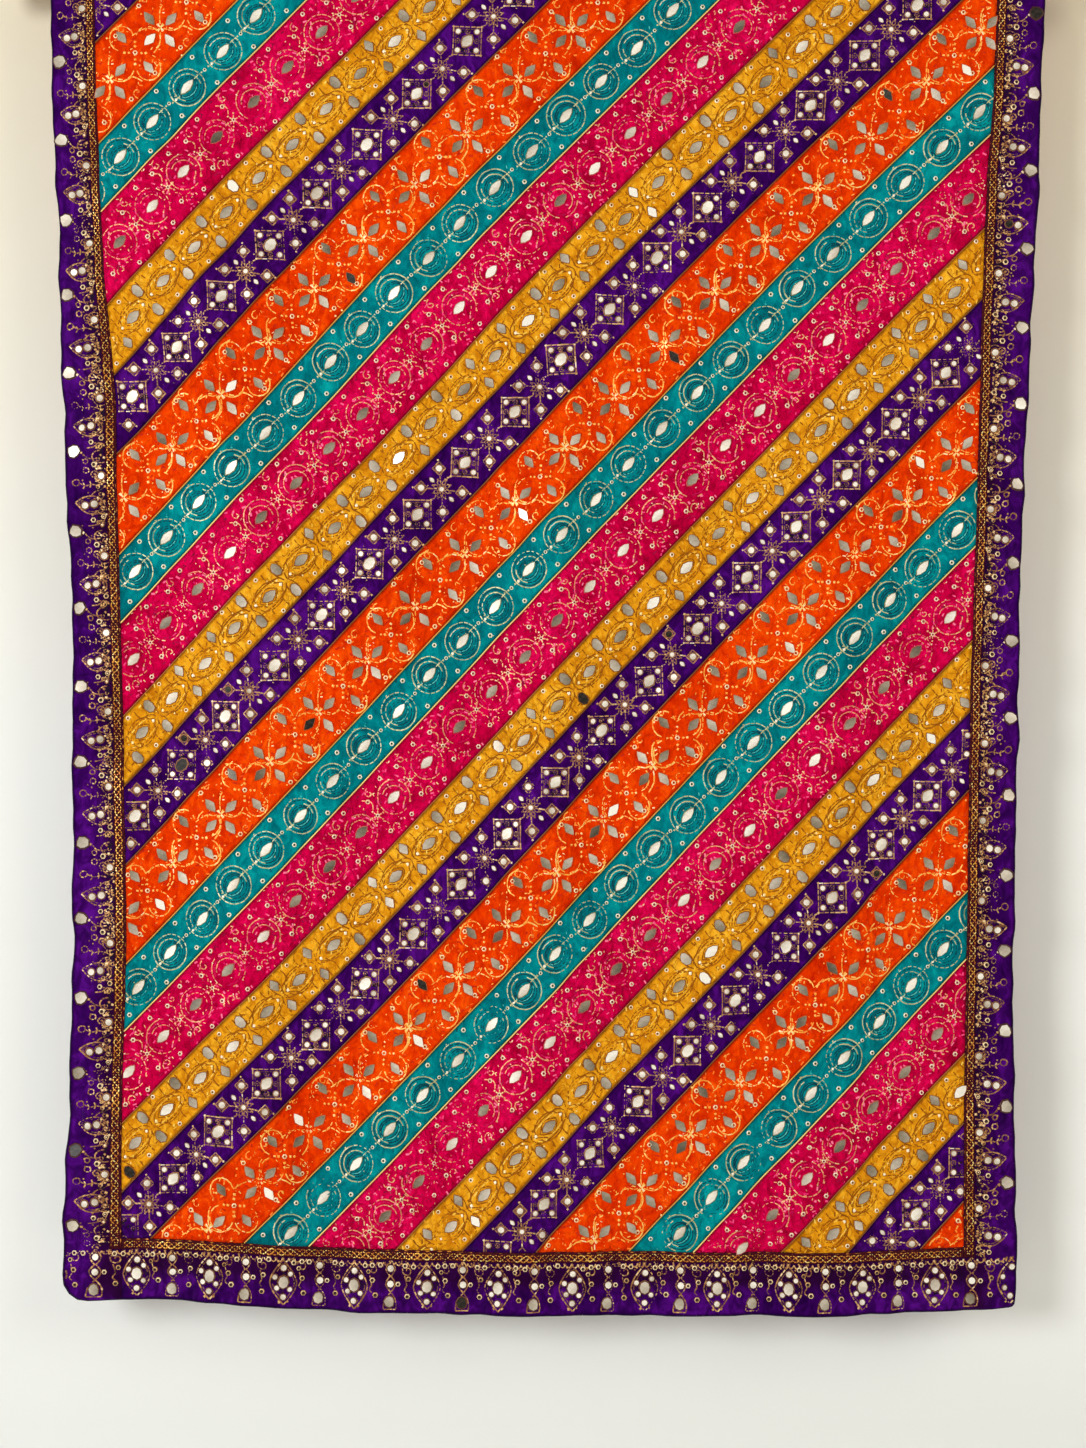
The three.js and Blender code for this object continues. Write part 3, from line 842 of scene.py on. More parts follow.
class Motif:
    """One repeat of embroidery, kept as arrays of stitches, beads and mirrors."""

    def __init__(self, seed):
        self.rng = np.random.default_rng(seed)
        self.stitches, self.tones, self.beads, self.mirrors = [], [], [], []

    def sew(self, line, length, gap, width, shade, tone=False, keep=1.0):
        """Stitches along a line: each row is place, half length, half width, height and shade."""
        line = np.asarray(line, float)
        steps_along = np.linalg.norm(np.diff(line, axis=0), axis=1)
        at = np.concatenate([[0], np.cumsum(steps_along)])
        count = max(1, int(round(at[-1] / (length + gap))))
        pitch = at[-1] / count
        middle = (np.arange(count) + 0.5) * pitch
        half = min(length / 2, pitch / 2)
        ends = [
            np.stack([np.interp(middle + side * half, at, line[:, i]) for i in (0, 1)], 1)
            for side in (-1, 1)
        ]
        centre = (ends[0] + ends[1]) / 2 + self.rng.normal(0, STITCH_STRAY, (count, 2))
        reach = (ends[1] - ends[0]) / 2 * self.rng.uniform(*STITCH_LENGTHS, (count, 1))
        wide = width / 2 * self.rng.uniform(*STITCH_WIDTHS, count)
        tall = STITCH_TALL * width * self.rng.uniform(*STITCH_WIDTHS, count)
        tint = np.clip(shade + self.rng.normal(0, STITCH_TINTS, count), 0, 1)
        rows = np.column_stack([centre, reach, wide, tall, tint])
        rows = rows[self.rng.uniform(size=count) < keep]
        (self.tones if tone else self.stitches).append(rows)

    def curves(self, kind, *lines):
        """Smooth lines of one kind of stitch, each through its own places."""
        for places in lines:
            self.sew(curve(*places), *kind)

    def knots(self, places, size, shade):
        for x, y in places:
            way = self.rng.uniform(0, math.pi)
            d = size / 2 * np.array([math.cos(way), math.sin(way)])
            self.sew([(x, y) - d, (x, y) + d], size, 0, size, shade)

    def flecks(self, count, box, length, width, shade, tone=False, at=(0, 0)):
        """Loose short stitches, scattered over a box that lies along the strip."""
        s = self.rng.uniform(-box[0], box[0], count)
        t = self.rng.uniform(-box[1], box[1], count)
        centre = s[:, None] * RIGHT_UP + t[:, None] * RIGHT_DOWN + at
        way = self.rng.uniform(0, math.pi, count)
        half = length / 2 * self.rng.uniform(*FLECK_LENGTHS, count)
        reach = np.stack([np.cos(way), np.sin(way)], 1) * half[:, None]
        wide = width / 2 * self.rng.uniform(*FLECK_WIDTHS, count)
        tint = np.clip(shade + self.rng.normal(0, FLECK_TINTS, count), 0, 1)
        rows = np.column_stack([centre, reach, wide, wide * 0.8, tint])
        (self.tones if tone else self.stitches).append(rows)

    def bead(self, x, y, radius, shade):
        self.beads.append((x, y, radius, shade + self.rng.normal(0, BEAD_TINTS)))

    # A mirror's shade is its painted reflection and tarnish, from black to cream
    def mirror(self, x, y, half_long, half_wide, turn, kind, shade, rim, rim_shade):
        turn = math.radians(turn)
        self.mirrors.append((x, y, half_long, half_wide, turn, kind, shade, rim, rim_shade))

    def round_mirror(self, x, y, radius, shade, rim, rim_shade):
        self.mirror(x, y, radius, radius, 0, ROUND, shade, rim, rim_shade)


def star_cell(seed):
    """Orange: a star of four lozenges, and beside it a four-lobed round of running stitch."""
    m = Motif(seed)
    for x, y, turn, shade in (
        (-10.5, -8, 50, 0.5), (10.5, -8, -50, 0.5), (-9.5, 12, -50, 0.38), (9.5, 12.5, 52, 0.66),
    ):
        m.mirror(x, y, 7.9, 4.4, turn, LOZENGE, shade, 0.45, 0.25)
    m.curves(
        BOLD,
        ((-2.5, 0.5), (-7, 2), (-14, 1), (-21, 5), (-27, 9)),
        ((2.5, 0.5), (7.5, 2), (15, 2), (22, -2.5), (31, 2)),
        ((0, -3), (-0.6, -8), (-0.6, -17), (2, -22)),
        ((0, 4), (0.6, 9), (0, 16), (-6, 25)),
    )
    for way in (-40, -62, -118, -140):
        for reach in (5, -5):
            m.sew([(0, 0), reach * heading(way)], *SPOKE)
    x, y = 24.75, -24.75
    m.mirror(x - 12.8, y - 14.6, 7.4, 4.2, 50, LOZENGE, 0.42, 0.45, 0.25)
    m.mirror(x + 12.4, y + 13.6, 7.4, 4.2, 50, LOZENGE, 0.6, 0.45, 0.25)
    for right, down, first, keep in (
        (-1, -1, 105, 0.95), (1, 1, 285, 0.95), (1, -1, 195, 0.7), (-1, 1, 15, 0.7),
    ):
        lobe = arc(x + right * 12.5, y + down * 13.5, 11.6, 12.2, first, first + 240)
        m.sew(lobe, 5.2, 0.0, 1.3, 0.72, keep=keep)
    m.bead(x, y, 2.3, 0.97)
    m.knots([(x + d, y) for d in (-10, -6, 6, 10)], 2.3, 0.72)
    m.knots([(x, y + d) for d in (-10.5, -6.3, 6.3, 10.5)], 2.3, 0.72)
    for along in (0, 35):
        for side in (-1, 1):
            spot = along * RIGHT_UP + side * 25.8 / math.sqrt(2) + m.rng.normal(0, 1.3, 2)
            m.bead(*spot, 2.3, 0.85)
            m.knots([spot + m.rng.normal(0, 4.0, 2) for _ in range(3)], 1.8, 0.72)
            bend = spiral(*(spot + 9 * RIGHT_UP), 5.2, 1.4, 90 * side, 0.8 * side)
            m.sew(bend, 3.4, 0.2, 1.05, 0.66, keep=0.8)
    m.flecks(30, (35, 30), 2.6, 1.0, 0.68)
    m.flecks(34, (35, 31), 4.0, 1.6, 0.2, tone=True)
    m.flecks(20, (35, 31), 3.4, 1.5, 0.85, tone=True)
    return m


def ring_cell(seed):
    """Teal: rings of stitching round an almond mirror, linked by beads."""
    m = Motif(seed)
    m.mirror(0, 0, 8.9, 3.9, -51, ALMOND, 0.93, 0.5, 0.45)
    m.sew(arc(0, 0, 17.8, 17.8), 5.4, -0.2, 1.0, 0.66)
    m.sew(arc(0, 0, 13.4, 13.0, 95, 345), 5.0, -0.1, 1.0, 0.64, keep=0.92)
    m.sew(arc(0, 0, 13.4, 13.0, -15, 95), 5.0, -0.1, 1.1, 0.05, tone=True)
    for wide, high in ((15.7, 15.7), (11.4, 9.6), (10.2, 7.6)):
        m.sew(arc(0, 0, wide, high, turn=-50), *UNDER, tone=True)
    m.sew(arc(0, 0, 11.0, 8.6, 20, 200, -50), 4.2, 0.0, 1.1, 0.9, tone=True)
    for side in (-1, 1):
        m.sew(side * np.array([(6.4, -8.0), (9.2, -10.6), (12.8, -13.2)]), 3.3, 0.0, 1.1, 0.66)
    m.bead(16.6, -16.6, 1.8, 0.85)
    m.knots([(-10.4, 11.4)], 2.6, 0.95)
    m.knots([(13.6, -14.2), (-13.8, 14)], 1.7, 0.7)
    m.bead(28.6, -4.6, 2.25, 0.97)
    m.bead(4.6, -28.6, 2.25, 0.97)
    m.flecks(12, (23, 22), 3.0, 1.1, 0.5, tone=True)
    m.flecks(4, (23, 21), 1.6, 0.9, 0.7)
    return m


def rose_cell(seed):
    """Pink: broken rounds about an almond mirror, with curls, beads and many flecks."""
    m = Motif(seed)
    bright = m.rng.uniform() < 0.55
    m.mirror(0, 0, 8.0, 4.3, -48, ALMOND, 0.86 if bright else 0.42, 0.55, 0.4)
    m.sew(arc(0, 0, 16.8, 16.8), 5.0, 0.2, 1.05, 0.6, keep=0.85)
    first = m.rng.uniform(0, 180)
    m.sew(arc(0, 0, 11.8, 11.2, first, first + 230), 4.3, 0.2, 1.0, 0.56, keep=0.85)
    m.sew(arc(0, 0, 14.2, 14.0), 4.8, 0.3, 1.2, 0.50, tone=True, keep=0.7)
    hub = np.array([16.6, -16.6])
    for way in np.arange(6) * 60 + m.rng.uniform(0, 60):
        d = heading(way)
        m.sew([hub + 1.2 * d, hub + 4.6 * d], 3.6, 0.0, 1.15, 0.72)
        m.knots([hub + 6.2 * d], 1.7, 0.7)
    m.bead(*hub, 1.9, 0.82)
    for side in (-1, 1):
        out = side * RIGHT_DOWN
        m.bead(*(hub + 17.5 * out + m.rng.normal(0, 1.2, 2)), 2.3, 0.85)
        m.bead(*(23.5 * out + m.rng.normal(0, 1.5, 2)), 2.2, 0.85)
        bend = spiral(*(hub + 21 * out + 8 * RIGHT_UP), 5.5, 1.2, 120 * side, 0.95 * side)
        m.sew(bend, 3.8, 0.1, 1.0, 0.62, keep=0.9)
        places = hub + 7 * out, hub + 13 * out + 4 * RIGHT_UP, hub + 21 * out - 3 * RIGHT_UP
        m.curves((4.2, 0.1, 1.0, 0.6), places)
    m.flecks(24, (23.5, 29), 2.3, 1.0, 0.72)
    m.flecks(18, (23.5, 30), 3.8, 1.5, 0.1, tone=True)
    m.flecks(34, (23.5, 30), 3.6, 1.5, 0.85, tone=True)
    return m


def leaf_cell(seed):
    """Mustard: mirrors among leaves in thread of the strip's own colour."""
    m = Motif(seed)
    m.mirror(0, 0, 8.2, 4.7, -44, ALMOND, 0.58 + 0.34 * (m.rng.uniform() < 0.3), 0.5, 0.2)
    hub = np.array([16.3, -16.3])
    for side in (-1, 1):
        out = side * RIGHT_DOWN
        kind = (LOZENGE, EGG)[int(m.rng.integers(2))]
        m.mirror(*(hub + 13.0 * out), 6.6, 4.5, 50, kind, 0.56, 0.5, 0.2)
        m.knots([hub + side * 6.8 * RIGHT_UP], 3.0, 0.97)
        m.bead(*(18.2 * out + m.rng.normal(0, 1.0, 2)), 2.1, 0.9)
        for reach, wide, shade in ((21, 6.5, 0.12), (18, 4.2, 0.8), (15, 9.0, 0.15)):
            leaf = arc(*(3 * out), reach, wide, 0, 180 * side, -45)
            m.sew(leaf, 5.4, 0.1, 1.35, shade, tone=True)
        for d in (-9, -3, 3, 9):
            foot = hub + d * 0.5 * RIGHT_UP
            tip = hub + 19 * out + d * 1.6 * RIGHT_UP
            bow = (foot + tip) / 2 + d * 0.55 * RIGHT_UP
            m.sew(curve(foot, bow, tip), 5.0, 0.1, 1.3, 0.12, tone=True, keep=0.9)
    m.sew(drop_frame(0, 0, 11.5, 7.4, -44), 4.2, 0.1, 1.3, 0.12, tone=True)
    m.flecks(12, (23, 22), 3.6, 1.4, 0.8, tone=True)
    m.flecks(8, (23, 22), 3.8, 1.3, 0.15, tone=True)
    spots = [
        m.rng.uniform(-15, 15) * RIGHT_DOWN + m.rng.uniform(-22, 22) * RIGHT_UP for _ in range(3)
    ]
    m.knots(spots, 1.8, 0.8)
    return m


def framed_mirror(m, spot, stem, radius=3.1, frame=6.6):
    """A small round mirror in a diamond of stitches, on a stem from the given place."""
    m.round_mirror(*spot, radius, 0.9, 1.3, 0.62)
    corners = np.array([(frame, 0), (0, frame), (-frame, 0), (0, -frame), (frame, 0)]) + spot
    m.sew(corners, 4.8, -0.1, 1.2, 0.6)
    way = stem - spot
    span = np.linalg.norm(way)
    way /= span
    m.sew([spot + way * (frame + 0.4), spot + way * (span - 5.0)], 3.1, 0.2, 1.3, 0.67)
    m.knots([spot - way * (frame + 1.4)], 1.8, 0.8)


def square_cell(seed):
    """Purple: a square frame with mirrors at its corners, and a cluster between frames."""
    m = Motif(seed)
    kind = (EGG, ALMOND, ROUND)[int(m.rng.integers(3))]
    m.mirror(0, 0, 6.8, 5.0, -52, kind, 0.84, 1.2, 0.66)
    for half, width, shade in ((13.4, 1.35, 0.66), (11.2, 1.0, 0.3)):
        corners = half * np.array([(-1, -1), (1, -1), (1, 1), (-1, 1), (-1, -1.0)])
        for a, b in zip(corners[:-1], corners[1:]):
            m.sew([a, b], 5.2, -0.3, width, shade)
    for x in (-1, 1):
        for y in (-1, 1):
            m.round_mirror(9.0 * x, 9.0 * y, 2.4, 0.92, 1.0, 0.64)
            m.knots([(13.6 * x, 13.6 * y)], 2.0, 0.8)
        for spot, first in (((0, 9.2 * x), 0), ((9.2 * x, 0), 90)):
            m.sew(arc(*spot, 2.5, 2.5, first, first + 360), 2.9, 0.0, 1.1, 0.46)
            m.knots([spot], 1.7, 0.4)
    m.flecks(22, (11, 11), 3.4, 2.2, 0.05, tone=True)
    hub = np.array([24.0, -24.0])
    m.round_mirror(*hub, 2.2, 0.95, 1.2, 0.7)
    for way in np.arange(8) * 45 + 22:
        d = heading(way)
        m.sew(arc(*(hub + 6.2 * d), 2.7, 1.7, turn=way), 2.9, 0.0, 1.1, 0.56)
        m.knots([hub + 9.6 * d, hub + 4.0 * d], 1.6, 0.55)
    for step in ((-20.5, -1), (20.5, 3), (1, 21.5), (-2.5, -19.5)):
        framed_mirror(m, hub + step, hub)
    for step in ((-9.6, -8.4), (9.8, 9.4)):
        m.mirror(*(hub + step), 3.0, 1.9, 45, ALMOND, 0.95, 0.6, 0.5)
    for side in (-1, 1):
        m.curves((2.9, 0.1, 1.2, 0.67), side * np.array([(14.5, -14.5), (17.5, -16), (18, -19)]))
    m.flecks(5, (34, 20), 1.8, 1.0, 0.5)
    return m


def side_cell(seed):
    """Side border: x runs out from the seam, 0 to 48, and y down, over one repeat."""
    m = Motif(seed)
    m.mirror(39.8, 0, 6.0, 5.6, m.rng.uniform(0, 60), UNEVEN, 0.7, 1.4, 0.34)
    m.knots([(32.6, 1.6)], 2.4, 0.85)
    m.curves(OPEN, ((31, 2.4), (27, 6.6), (22, 7.4), (17, 7)))
    m.sew(arc(28.8, 9.6, 2.6, 2.6), *CURL)
    m.bead(20.5, 12.8, 2.8, 0.8)
    m.sew(arc(28.6, 18.2, 2.9, 2.9), *PALE_CURL)
    m.sew(spiral(21, 22.5, 4.2, 1.0, 200, 1.4), *CURL)
    m.round_mirror(14.2, 23.5, 3.2, 0.84, 1.5, 0.66)
    m.sew(arc(38, 30, 3.5, 3.2), *RING)
    m.curves(OPEN, ((34.4, 30.5), (29, 33), (23, 31.5), (17, 33)))
    for x, y, way in ((30, 33, 60), (30, 33, -60), (24, 31.6, 70), (24, 31.6, -70)):
        m.sew([(x, y), (x, y) + 3.4 * heading(way)], 3.6, 0.0, 1.2, 0.72)
    m.sew(drop_frame(25.5, 51, 14.2, 8.6, 172, 0.62), 3.6, 0.1, 1.4, 0.67)
    m.sew(drop_frame(25.5, 51, 11.6, 6.5, 172, 0.62), 2.9, 0.2, 1.0, 0.47, keep=0.8)
    m.flecks(10, (7, 6), 2.6, 1.6, 0.05, tone=True, at=(25, 51))
    m.round_mirror(30.6, 51.8, 3.2, 0.84, 1.3, 0.6)
    m.round_mirror(22.2, 50.2, 3.4, 0.76, 1.3, 0.55)
    m.knots([(15.2, 48.8), (12.4, 47.5)], 2.4, 0.75)
    m.bead(22.5, 65.5, 2.5, 0.75)
    m.bead(13.2, 62, 2.6, 0.7)
    m.sew(arc(14.5, 5.5, 8.2, 6.0, -90, 120), 3.1, 0.1, 1.2, 0.62)
    m.sew(arc(13.5, 23.5, 7.2, 7.2), 3.1, 0.1, 1.1, 0.57)
    m.curves(FINE, ((11, 33), (15, 37), (20, 38), (24, 42)))
    m.sew(spiral(15.5, 41.5, 4.0, 1.2, 40, 1.2), *CURL)
    m.curves(
        FINE,
        ((11, 58), (16, 60), (19, 57), (24, 62)),
        ((11, 68), (16, 66), (20, 70), (27, 71)),
    )
    m.sew(spiral(15, 70, 3.8, 1.0, 10, -1.2), 2.7, 0.1, 1.2, 0.67)
    for _ in range(15):
        spot = (m.rng.uniform(11, 20), m.rng.uniform(0, SIDE_PITCH))
        m.sew(arc(*spot, 2.2, 1.6, 0, 300, m.rng.uniform(0, 360)), 2.3, 0.1, 1.0, 0.74, keep=0.9)
    for count, near, far, size, shade in ((20, 10.5, 18.5, 2.3, 0.86), (14, 17, 34, 1.5, 0.6)):
        for _ in range(count):
            m.knots([(m.rng.uniform(near, far), m.rng.uniform(0, SIDE_PITCH))], size, shade)
    dark = 60
    m.tones.append(np.column_stack([
        m.rng.uniform(10, 19, dark), m.rng.uniform(0, SIDE_PITCH, dark),
        m.rng.normal(0, 1.2, (dark, 2)), np.tile((0.9, 0.35, 0.05), (dark, 1)),
    ]))
    return m


def end_cell(seed):
    """End border: y runs down from the seam, 0 to 60, and x along it, over one repeat."""
    m = Motif(seed)
    m.sew(drop_frame(0, 34.5, 21.5, 13.6, 90), 4.2, 0.1, 1.5, 0.67)
    m.sew(drop_frame(0, 34.5, 18.0, 11.2, 90), 3.1, 0.2, 1.0, 0.50, keep=0.8)
    m.mirror(0, 34, 6.0, 4.9, 90, ROUND, 0.84, 1.2, 0.5)
    for x, y, radius in (
        (0.5, 20.5, 2.9), (7.2, 26, 2.3), (-8.2, 29.5, 2.4), (-6.6, 40, 2.4), (6.4, 41, 2.3),
        (-0.5, 48.5, 2.8),
    ):
        m.round_mirror(x, y, radius, 0.9, 0.9, 0.55)
    m.flecks(22, (9, 9), 2.6, 1.6, 0.05, tone=True, at=(0, 34))
    m.knots([(0, 12), (4, 53), (-4.4, 53.5)], 2.4, 0.8)
    hung = 36.75
    m.sew(drop_frame(hung, 17.5, 7.5, 4.8, 90), *RING)
    m.sew(drop_frame(hung, 31.5, 7.5, 5.0, 90), *RING)
    m.round_mirror(hung, 17.5, 3.2, 0.88, 0.7, 0.5)
    m.round_mirror(hung, 31.5, 3.3, 0.94, 0.7, 0.5)
    m.bead(hung + 7.4, 31.5, 2.3, 0.9)
    m.mirror(hung - 1.5, 48, 5.6, 4.6, 90, EGG, 0.62, 0.9, 0.5)
    m.curves(
        PENDANT,
        ((hung, 39.5), (hung - 5.6, 45), (hung - 7.6, 52), (hung - 8, 56)),
        ((hung, 39.5), (hung + 3.6, 44), (hung + 5.2, 50), (hung + 4.6, 56)),
        ((hung - 8, 56.0), (hung + 4.6, 56.0)),
    )
    for x, y, radius in (
        (18.6, 29, 2.6), (20.4, 43.5, 2.7), (55, 28, 2.5), (53.5, 44, 2.7), (16, 19, 2.2),
    ):
        m.bead(x + m.rng.normal(0, 1), y + m.rng.normal(0, 1.5), radius, 0.62)
    for x in np.arange(-14, 58, 8.2):
        if 7 < abs(x) and 7 < abs(x - hung):
            m.bead(x + m.rng.normal(0, 0.6), 14.6 + m.rng.normal(0, 0.7), 2.5, 0.85)
    for x, way in ((19, 1), (54, -1)):
        m.sew(spiral(x, 19, 5.6, 1.4, 200, 1.1 * way), *RING)
        m.curves(OPEN, ((x - 3, 24), (x - 1, 33), (x - 4, 37), (x - 1, 40)))
    for x in np.arange(-16, 56, 6.1):
        m.sew(arc(x, 11.5, 3.0, 3.4, 0, 180), *PALE_CURL)
    for _ in range(26):
        m.knots([(m.rng.uniform(-18, 55), m.rng.uniform(10.5, 17.5))], 1.7, 0.6)
    return m


# How far stitches and beads keep from a mirror's middle, in shares of its size. Its edge's
# width, how pointed its ends are, and how far off nothing can touch it.
STITCH_ROOM, BEAD_ROOM = 1.04, 1.1
MIRROR_EDGE, MIRROR_POINT, MIRROR_NEAR = 0.3, 1.6, 12
# How much of a mirror's half width and a stitch's half length has to lie inside a piece's edges
MIRROR_INSIDE, STITCH_INSIDE = 0.75, 0.35
STITCH_MARGIN = 0.5


class Patch:
    """What is sewn on one strip or border, gathered as rows in flat places."""

    KINDS = ("stitches", "tones", "beads", "mirrors")

    def __init__(self, edge_distance):
        self.edge_distance = edge_distance
        self.rows = {kind: [] for kind in self.KINDS}

    def place(self, motif, at, turn=0.0, scale=1.0, flip=1):
        c, s = scale * math.cos(turn), scale * math.sin(turn)
        spin = np.array([[c * flip, s * flip], [-s, c]])
        for kind in self.KINDS:
            stitched = kind in ("stitches", "tones")
            rows = getattr(motif, kind)
            if not rows:
                continue
            rows = np.concatenate(rows) if stitched else np.array(rows, float)
            rows[:, :2] = rows[:, :2] @ spin + at
            if stitched:
                rows[:, 2:4] = rows[:, 2:4] @ spin
            if kind == "mirrors":
                rows[:, 4] = (rows[:, 4] if flip > 0 else math.pi - rows[:, 4]) + turn
            self.rows[kind].append(rows)

    def settle_in(self, found):
        """Adds the rows that lie inside the piece's edges, and stitches only where no mirror is."""
        out = {k: np.concatenate(v) if v else np.zeros((0, 9)) for k, v in self.rows.items()}
        mirrors = out["mirrors"]
        mirrors = mirrors[self.edge_distance(mirrors) > MIRROR_INSIDE * mirrors[:, 3]]
        beads = out["beads"]
        beads = beads[self.edge_distance(beads) > beads[:, 2]]
        out["mirrors"], out["beads"] = mirrors, self.off_mirrors(beads, mirrors, BEAD_ROOM)
        for kind in ("stitches", "tones"):
            rows = out[kind]
            reach = STITCH_INSIDE * np.linalg.norm(rows[:, 2:4], axis=1) + STITCH_MARGIN
            rows = rows[self.edge_distance(rows) > reach]
            out[kind] = self.off_mirrors(rows, mirrors, STITCH_ROOM)
        for kind, rows in out.items():
            found[kind].append(rows)

    @staticmethod
    def off_mirrors(rows, mirrors, room):
        keep = np.ones(len(rows), bool)
        for x, y, long, wide, turn, kind, *_ in mirrors:
            dx, dy = rows[:, 0] - x, rows[:, 1] - y
            near = (np.abs(dx) < MIRROR_NEAR) & (np.abs(dy) < MIRROR_NEAR)
            c, s = math.cos(turn), math.sin(turn)
            u = (dx * c + dy * s) / (long + MIRROR_EDGE)
            v = (dy * c - dx * s) / (wide + MIRROR_EDGE)
            if kind in (ALMOND, LOZENGE):
                inside = np.abs(v) < room * (1 - np.minimum(np.abs(u), 1) ** MIRROR_POINT)
            else:
                inside = u * u + v * v < room * room
            keep &= ~(near & inside)
        return rows[keep]


# Painted shade and highlight: what is taken from a stitch's shade at its four corners, darker at
# its foot, and on its ridge, lighter
STITCH_PAINTED_SHADING = np.array([0.08, 0.08, 0.08, 0.08, -0.05])
# What is added to a cord's shade across it, painted shade at its edges and a painted highlight on
# its ridge, its ridge's height in shares of its width, and how long one of its segments is
CORD_PAINTED_SHADING = np.array([-0.1, 0.05, -0.1])
CORD_TALL, CORD_SEGMENT = 0.45, 9.0


def add_stitches(shape, rows, foot=THREAD_FOOT):
    """Each stitch is a low mound on the cloth, over a foot with four corners."""
    centre, half = rows[:, :2], rows[:, 2:4]
    over = np.stack([-half[:, 1], half[:, 0]], 1)
    over *= (rows[:, 4] / np.maximum(np.linalg.norm(over, axis=1), 1e-6))[:, None]
    flat = centre[:, None] + np.stack(
        [over - half, over + half, half - over, -over - half, 0 * half], 1
    )
    lift = np.full(flat.shape[:2], foot)
    lift[:, 4] += rows[:, 5] + OUTER - THREAD_FOOT
    points = cloth.at(flat[..., 0], flat[..., 1], lift)
    key = np.arange(len(rows))[:, None] * 5
    sides = ([0, 1, 4], [1, 2, 4], [2, 3, 4], [3, 0, 4])
    faces = np.concatenate([key + corners for corners in sides])
    # Painted shade at each stitch's foot and a painted highlight on its ridge
    tint = np.repeat(rows[:, 6:7], 5, 1) - STITCH_PAINTED_SHADING
    shape.add(points, [faces], flat.reshape(-1, 2), shade=np.clip(tint, 0, 1).reshape(-1))


def add_cord(shape, line, width, shade, foot):
    """A continuous cord along a line of flat places, with a ridge along its middle."""
    at = np.concatenate([[0], np.cumsum(np.linalg.norm(np.diff(line, axis=0), axis=1))])
    spots = np.linspace(0, at[-1], max(2, int(at[-1] / CORD_SEGMENT) + 1))
    middle = np.stack([np.interp(spots, at, line[:, i]) for i in (0, 1)], 1)
    way = np.gradient(middle, axis=0)
    way /= np.linalg.norm(way, axis=1, keepdims=True)
    over = np.stack([way[:, 1], -way[:, 0]], 1) * width / 2
    flat = np.stack([middle - over, middle, middle + over], 1)
    lift = np.array([foot, OUTER + CORD_TALL * width, foot]) + np.zeros((len(spots), 1))
    # Painted shade along the cord's edges and a painted highlight on its ridge
    tint = shade + CORD_PAINTED_SHADING + np.zeros((len(spots), 1))
    faces = grid_faces(len(spots), 3)
    shape.add(cloth.at(flat[..., 0], flat[..., 1], lift), [faces], flat, shade=tint.reshape(-1))


def ring_places(places, rings):
    """Points of flat rings in the tangent planes at flat places: rings holds x, y and lift."""
    right, down, out = (v[:, None, None] for v in cloth.axes_at(places[:, 0], places[:, 1]))
    start = cloth.at(places[:, 0], places[:, 1])[:, None, None]
    return start + right * rings[..., :1] + down * rings[..., 1:2] + out * rings[..., 2:]


def ring_faces(count, rings, sides, closed=True):
    """Slopes between each ring and the next one in, and a flat face over the last."""
    key = np.arange(count)[:, None, None] * rings * sides
    turn = np.arange(sides)
    slopes = []
    for ring in range(rings - 1):
        a = key[:, 0] + ring * sides + turn
        b = key[:, 0] + ring * sides + np.roll(turn, -1)
        slopes.append(np.stack([a, a + sides, b + sides, b], -1).reshape(-1, 4))
    top = key[:, 0] + (rings - 1) * sides + turn[::-1]
    return slopes + [top] if closed else slopes


# A bead's three rings, from its foot inward: their reach and painted shading, a highlight on the
# ridge and shade in the hole, and how high it stands
BEAD_SIDES = 6
BEAD_REACH = np.array([1.12, 0.8, 0.36])[None, :, None]
BEAD_PAINTED_SHADING = np.array([0.8, 1.6, -0.3])[None, :, None]
BEAD_FOOT, BEAD_TALL, BEAD_HOLE = 0.3, 0.62, 0.2


def add_beads(shape, rows):
    """Small ring beads: a wall with a painted highlight round a hole painted dark as shade."""
    turn = np.arange(BEAD_SIDES) * TURN / BEAD_SIDES
    radius = rows[:, 2:3, None] * BEAD_REACH
    x = radius * np.cos(turn)
    y = radius * np.sin(turn)
    flat = np.zeros(len(rows))
    lifts = [flat + BEAD_FOOT, OUTER + BEAD_TALL * rows[:, 2], flat + OUTER + BEAD_HOLE]
    lift = np.stack(lifts, 1)
    rings = np.stack([x, y, np.broadcast_to(lift[..., None], x.shape)], -1)
    points = ring_places(rows[:, :2], rings)
    # Painted light: each bead lighter on its ridge and dark in its hole
    tint = np.repeat(rows[:, 3:4, None] * BEAD_PAINTED_SHADING, BEAD_SIDES, 2).reshape(-1)
    shape.add(points, ring_faces(len(rows), 3, BEAD_SIDES), shade=tint)


# Mirrors: the shares painted black and painted shining as reflections, and how far they stand
# out for their size
DARK_MIRRORS, BRIGHT_MIRRORS = 0.012, 0.025
MIRROR_STAND = 0.07
MIRROR_SIDES = 8
# How far a mirror tilts, how its painted reflection and tarnish vary from one to the next, and how
# much lighter its painted reflection is to one side
MIRROR_TILT, MIRROR_REFLECTION_SPREAD, MIRROR_SHEEN = 0.03, 0.07, 0.1
# The rim's three rings: how far out the first two are in rims, how far in the last is in
# mirrors, and their lifts and shades, with the glass's own lift
RIM_REACH, RIM_INSIDE = (1.15, 0.6), 0.94
RIM_FOOT, RIM_TOP, RIM_LIP, GLASS_LIFT = 0.2, 0.65, 0.3, 0.35
RIM_SHADES = np.array([0.7, 1.0, 0.35])[None, :, None]


